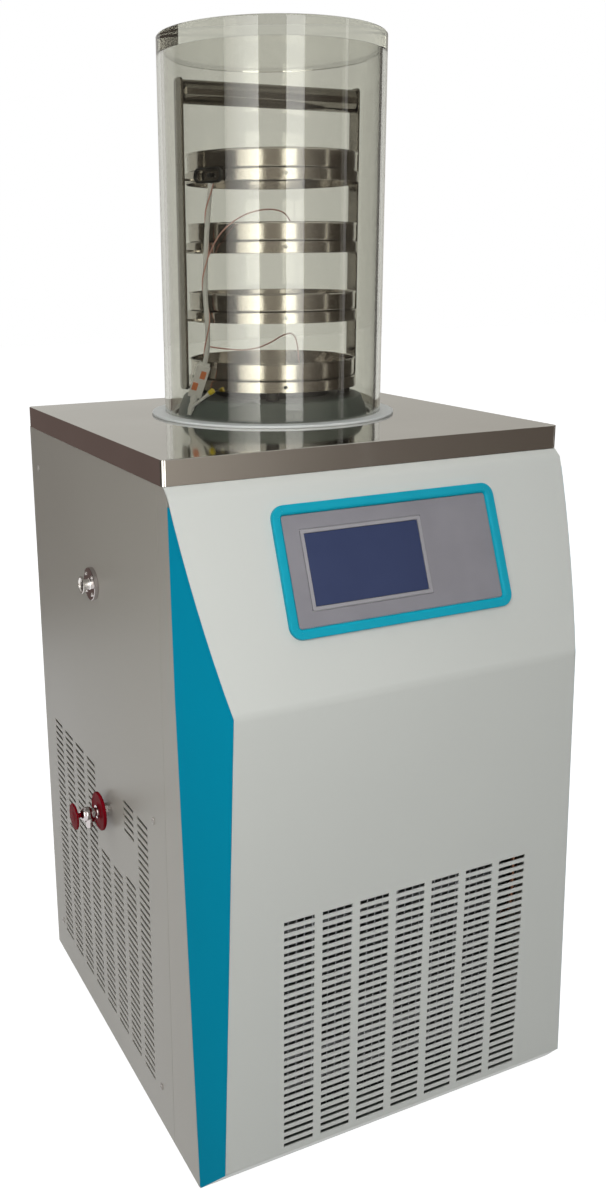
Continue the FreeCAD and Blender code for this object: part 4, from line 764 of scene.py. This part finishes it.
plug_start = bundle_end - (plug_end - bundle_end).normalized() * plug_overlap
plug_long = (plug_end - plug_start).length
plug = block((plug_wide, plug_thick, plug_long), (0, 0, plug_long / 2))
opened(plug)
choose(plug, "faces", lambda c: all(p.z < 1e-5 for p in c))
bpy.ops.mesh.inset(thickness=collar_step)
bpy.ops.mesh.extrude_region_move(TRANSFORM_OT_translate={"value": (0, 0, -collar_long)})
choose(plug, "faces", lambda c: all(p.z > plug_long - 1e-5 for p in c))
bpy.ops.mesh.inset(thickness=mouth_rim)
bpy.ops.mesh.extrude_region_move(TRANSFORM_OT_translate={"value": (0, 0, -mouth_deep)})
bpy.ops.object.mode_set(mode="OBJECT")
softened(plug, 0.0011, 3)
latches = [block(latch_size, (side, latch_out, along))
           for along, side in ((0.010, 0.0020), (0.0255, -0.0030))]
for latch in latches:
    softened(latch, 0.0006)
latches = joined(latches)
for thing in (plug, latches):
    laid_along(thing, plug_start, plug_end, (-0.4, -0.92, 0))
orange_plastic = plastic("orange_plastic", (0.72, 0.20, 0.07), (0.80, 0.25, 0.10), 0.4)
yellow_plastic = plastic("yellow_plastic", (0.80, 0.62, 0.03), (0.86, 0.68, 0.05), 0.35)
finished(plug, "plug_body", white_sleeve, ["sensor_plug"])
finished(latches, "plug_latches", orange_plastic)
tail = turned([(0.0038, 0), (0.0042, 0.0008), (0.0040, 0.006), (0.0030, 0.0090), (0.0034, 0.0100),
               (0.0034, 0.0180), (0.0028, 0.0190), (0.0022, (tail_end - plug_end).length)],
              steps=32)
laid_along(tail, plug_end - (plug_end - plug_start).normalized() * tail_overlap, tail_end)
finished(tail, "plug_tail", white_sleeve)
spare_start, spare_end = in_jar((-114.5, -24, 17)), in_jar((-101, -50, 37))
reach = (spare_end - spare_start).length
spare = turned([(0.0016, 0), (0.0019, 0.0010), (0.0019, reach - 0.012), (0.0025, reach - 0.011),
                (0.0025, reach - 0.006)], steps=32)
cap = turned([(0.0029, reach - 0.0065), (0.0032, reach - 0.0060), (0.0032, reach - 0.0010),
              (0.0024, reach - 0.0002), (0.0012, reach)], steps=32)
for thing in (spare, cap):
    laid_along(thing, spare_start, spare_end)
finished(spare, "spare_terminal", white_sleeve)
finished(cap, "terminal_cap", yellow_plastic)

# ------------------------------------------------------------------ wound lead
# A pink lead is wound loosely down the outside of the white sleeve, and both go into the
# plug. The sleeve and this lead make up the bundle.
bare = bundle.data.copy()
bare.bevel_depth = 0
bare_line = bpy.data.objects.new("bare_line", bare)
scene.collection.objects.link(bare_line)
evaluated_line = bare_line.evaluated_get(bpy.context.evaluated_depsgraph_get())
path = bpy.data.meshes.new_from_object(evaluated_line)
stations = [Vector(vertex.co) for vertex in path.vertices]
bpy.data.objects.remove(bare_line)
wound = bpy.data.curves.new("lead_wound", "CURVE")
wound.dimensions = "3D"
wound.bevel_depth = lead_thick / 2
wound.bevel_resolution = 3
wound.use_fill_caps = True
spline = wound.splines.new("POLY")
spline.points.add(len(stations) - 1)
winding_pitch, winding_out, first_turn = 0.075, 0.0030, math.radians(40)
run_so_far = 0.0
for i, (point, station) in enumerate(zip(spline.points, stations)):
    ahead = (stations[min(i + 1, len(stations) - 1)] - stations[max(i - 1, 0)]).normalized()
    run_so_far += (station - stations[max(i - 1, 0)]).length
    out = ahead.cross(Vector((0, 1, 0))).normalized()
    out.rotate(Matrix.Rotation(first_turn + run_so_far * 2 * math.pi / winding_pitch, 3, ahead))
    point.co = (*(station + out * winding_out), 1)
wound.materials.append(pink_sleeve)
wound_lead = bpy.data.objects.new("lead_wound", wound)
scene.collection.objects.link(wound_lead)
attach(wound_lead, "cabinet")

# ------------------------------------------------------------------ spring clip
# A blackened steel strip bent to a long loop hangs on the rim of the top shelf. Its
# pinch screw holds the leads where they gather.
clip_heading, clip_ring, clip_high = math.radians(201.75), 0.1064, 1.0805
clip_long, clip_wide, clip_half, clip_corner, clip_band = 0.042, 0.0168, 0.0016, 0.0083, 0.0024
clip = framed_slab(clip_long, clip_wide, -clip_half, clip_half, clip_corner, clip_band)
bpy.ops.object.mode_set(mode="OBJECT")
softened(clip, 0.0005)
pinch = turned([(0.0026, -0.0020), (0.0026, 0.0018), (0.0020, 0.0023), (0.0010, 0.0025)], steps=32)
pinch.location = (0.0022, 0, 0)
clip = joined([clip, pinch])
outward = Vector((math.cos(clip_heading), math.sin(clip_heading), 0))
sideways = Vector((-outward.y, outward.x, 0))
laid = Matrix((sideways, Vector((0, 0, 1)), outward)).transposed().to_4x4()
clip_place = jar_axis + outward * clip_ring + Vector((0, 0, clip_high))
clip.matrix_world = Matrix.Translation(clip_place) @ laid
finished(clip, "lead_clip", dark_plastic, ["sensor_clip"])

# ------------------------------------------------------------------ vacuum port
# A turned stainless port with a hollow end lip for the pump's hose clamp. Four slotted
# screws hold its round flange to the side panel.
turned_steel = metal("turned_steel", (0.50, 0.46, 0.46), (0.58, 0.54, 0.54), 0.07, 0.14)
bright_screw = metal("bright_screw", (0.70, 0.68, 0.66), (0.78, 0.76, 0.74), 0.18, 0.28)
port_place = Vector((-0.2175, 0.0355, 0.626))
port_bore, port_plate, port_radius, port_screw_ring = 0.0055, 0.0055, 0.0195, 0.01475
neck_bore, lip_radius = 0.0040, 0.0100
left_facing = (0, -math.pi / 2, 0)
port = turned([(port_bore, 0), (port_radius - 0.0005, 0), (port_radius, 0.0005),
               (port_radius, port_plate - 0.0005), (port_radius - 0.0005, port_plate),
               (port_bore, port_plate)], ring=True, steps=96)
neck = turned([(neck_bore, 0.0030), (0.0060, 0.0030), (0.0070, port_plate),
               (0.0062, port_plate + 0.0010), (0.0060, 0.0122), (0.0068, 0.0130), (0.0095, 0.0130),
               (lip_radius, 0.0135), (lip_radius, 0.0150), (0.0095, 0.0155), (0.0087, 0.0155),
               (0.0080, 0.0138), (neck_bore, 0.0133)], ring=True, steps=96)
for thing in (port, neck):
    thing.rotation_euler = left_facing
    thing.location = port_place
finished(port, "inlet_flange", turned_steel, ["vacuum_port"], angle=40)
finished(neck, "inlet_neck", bright_screw, angle=40)


def screw_head(radius, thick, slots):
    """A low screw head that faces the machine's left, with a slot or a cross sunk in it."""
    head = turned([(radius, 0), (radius, thick * 0.55), (radius * 0.8, thick * 0.9),
                   (radius * 0.45, thick)], steps=40)
    slot_long = radius * (2.2 if len(slots) == 1 else 1.1)
    for heading in slots:
        blade = block((slot_long, radius * 0.26, thick * 0.9), (0, 0, thick))
        blade.rotation_euler.z = math.radians(heading)
        cut(head, blade)
    head.rotation_euler = left_facing
    settled(head)
    return head


places = []
for quarter, spin in enumerate((10, 65, -30, 110)):
    bearing = math.radians(45 + 90 * quarter)
    away = Vector((-port_plate, port_screw_ring * math.cos(bearing),
                   port_screw_ring * math.sin(bearing)))
    places.append((port_place + away, (math.radians(spin), 0, 0)))
heads = set_out(screw_head(0.0022, 0.0014, (0,)), places)
finished(heads, "inlet_screws", bright_screw, ["vacuum_port_screws"])

# ------------------------------------------------------------------ drain valve
# The trap's drain comes through the panel with a nut and a red locking disc, and carries
# a small turned valve with a spout. Its red knob turns on a stem by a quarter turn.
red_plastic = plastic("red_plastic", (0.15, 0.0, 0.004), (0.20, 0.0, 0.007), 0.55, specular=0.06)
drain_place = Vector((-0.2175, 0.0215, 0.343))
nut_radius, disc_radius, knob_radius = 0.0080, 0.0235, 0.0160
nut = turned([(0.0059, 0), (0.0078, 0), (nut_radius, 0.0006), (nut_radius, 0.0070),
              (0.0072, 0.0080), (0.0059, 0.0080)], ring=True, steps=6)
disc = turned([(disc_radius - 0.0010, 0.0080), (disc_radius, 0.0088), (disc_radius, 0.0112),
               (disc_radius - 0.0010, 0.0120), (0.0200, 0.0120), (0.0194, 0.0115), (0.0112, 0.0115),
               (0.0106, 0.0120)], steps=96)
barrel = turned([(0.0075, 0.0120), (0.0080, 0.0125), (0.0080, 0.0138), (0.0055, 0.0144),
                 (0.0055, 0.0198), (0.0070, 0.0208), (0.0081, 0.0228), (0.0085, 0.0255),
                 (0.0083, 0.0282), (0.0074, 0.0306), (0.0060, 0.0324), (0.0045, 0.0340)], steps=64)
for thing in (nut, disc, barrel):
    thing.rotation_euler = left_facing
    thing.location = drain_place
spout_bore, spout_out = 0.0028, 0.023
spout = turned([(spout_bore, -0.0180), (0.0037, -0.0180), (0.0040, -0.0176), (0.0040, -0.0102),
                (0.0062, -0.0100), (0.0065, -0.0096), (0.0065, -0.0020), (spout_bore, -0.0020)],
               ring=True, steps=48)
spout.location = drain_place - Vector((spout_out, 0, 0))
finished(nut, "drain_locknut", bright_screw, ["drain_nut"], angle=20)
finished(disc, "locking_disc", red_plastic, ["drain_lock_disc"])
finished(joined([barrel, spout]), "drain_valve", turned_steel, ["drain_valve_body"])
knob = turned([(0.0030, 0.0265), (0.0030, 0.0396), (0.0070, 0.0400), (knob_radius - 0.0010, 0.0401),
               (knob_radius, 0.0408), (knob_radius, 0.0420), (knob_radius - 0.0008, 0.0427),
               (0.0070, 0.0428), (0.0056, 0.0433), (0.0042, 0.0435)], steps=96)
knob.rotation_euler = left_facing
knob.location = drain_place
finished(knob, "drain_knob", red_plastic, ["drain_valve_knob"], body="knob")

# ------------------------------------------------------------------ panel screws
# Four steel pan-head screws with a cross recess hold each side panel to the frame. They
# are painted gray like the panels.
screw_coat = coat("screw_coat", (0.40, 0.37, 0.34), (0.46, 0.43, 0.40), 0.35)
screws_low, screws_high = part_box("panel_screws")
screw_radius, middle_x, panel_out, front_high = 0.0040, 0.021, 0.2385, 0.402
rear, fore = screws_high.y - screw_radius, screws_low.y + screw_radius
high, low = screws_high.z - screw_radius, screws_low.z + screw_radius
places = []
for side, around in ((-1, 0), (1, math.pi)):
    for i, (y, z) in enumerate(((rear, high), (fore, front_high), (fore, low), (rear, low))):
        places.append(((middle_x + side * panel_out, y, z), (math.radians(20 + 31 * i), 0, around)))
heads = set_out(screw_head(screw_radius, 0.0014, (0, 90)), places)
finished(heads, "side_screws", screw_coat, ["panel_screws"])

# ------------------------------------------------------------------ feet
# Four round feet of black rubber, moulded with a taper and a groove. Each is held under
# the base by a screw in its hollow.
black_rubber = plastic("black_rubber", (0.010, 0.010, 0.010), (0.018, 0.018, 0.018), 0.75)
rubber_radius, rubber_high = 0.0180, 0.0120
rubber = turned([(0.0060, 0.0020), (0.0070, 0), (0.0165, 0), (rubber_radius, 0.0015),
                 (0.0175, 0.0055), (0.0168, 0.0060), (0.0172, 0.0066), (0.0160, rubber_high)],
                steps=64)
feet_low, feet_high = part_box("feet")
feet = set_out(rubber, [((x, y, 0),)
                        for x in (feet_low.x + rubber_radius, feet_high.x - rubber_radius)
                        for y in (feet_low.y + rubber_radius, feet_high.y - rubber_radius)])
finished(feet, "rubber_feet", black_rubber, ["feet"])

# ------------------------------------------------------------------ mains inlet and switch
# A black moulded appliance inlet with three pins, and beside it a rocker switch, both
# snapped into the back panel. The rocker tips on a pin across its housing.
for node, name, body in (("mains_inlet", "power_inlet", "cabinet"),
                         ("power_switch", "switch_housing", "cabinet"),
                         ("power_rocker", "switch_rocker", "rocker")):
    thing = merged_copy(node)
    softened(thing, 0.0004, 2, 40)
    finished(thing, name, dark_plastic, [node], body)

# ------------------------------------------------------------------ trap and its pipes
# The cold trap is a polished steel pot in sprayed foam, with a copper coil wound round
# it. Steel pipes lead from it to the vacuum port and to the drain.


def dressed(names, material):
    """Give nodes of the frame a finish."""
    for name in names:
        mesh = nodes[name].data
        mesh.materials.clear()
        mesh.materials.append(material)


foam = plastic("foam", (0.60, 0.48, 0.24), (0.70, 0.58, 0.32), 0.85, 120.0, 0.001)
copper = metal("copper", (0.55, 0.24, 0.14), (0.66, 0.32, 0.20), 0.2, 0.35)
dressed(["cold_trap"], polished_sheet)
dressed(["trap_insulation"], foam)
dressed(["evaporator_coil", "copper_lines", "filter_drier"], copper)
dressed(["vacuum_pipe", "drain_pipe"], turned_steel)

# ------------------------------------------------------------------ frame and base
# Square steel tubes welded to a frame, which stands on a folded base plate. Both are
# zinc plated.
zinc = metal("zinc", (0.42, 0.43, 0.44), (0.55, 0.56, 0.57), 0.35, 0.5)
dressed(["welded_frame", "base_plate"], zinc)

# ------------------------------------------------------------------ cooling machinery
# A black enamelled compressor stands on rubber mounts behind the finned condenser. A
# small motor drives the fan that draws air in through the front grille.
black_enamel = coat("black_enamel", (0.015, 0.015, 0.016), (0.025, 0.025, 0.026), 0.4)
fin_metal = metal("fin_metal", (0.45, 0.46, 0.47), (0.55, 0.56, 0.57), 0.3, 0.45)
dressed(["compressor", "fan_motor", "fan_shroud"], black_enamel)
dressed(["condenser"], fin_metal)
dressed(["compressor_mounts"], black_rubber)
dressed(["control_box", "mains_box", "fan_blades"], dark_plastic)
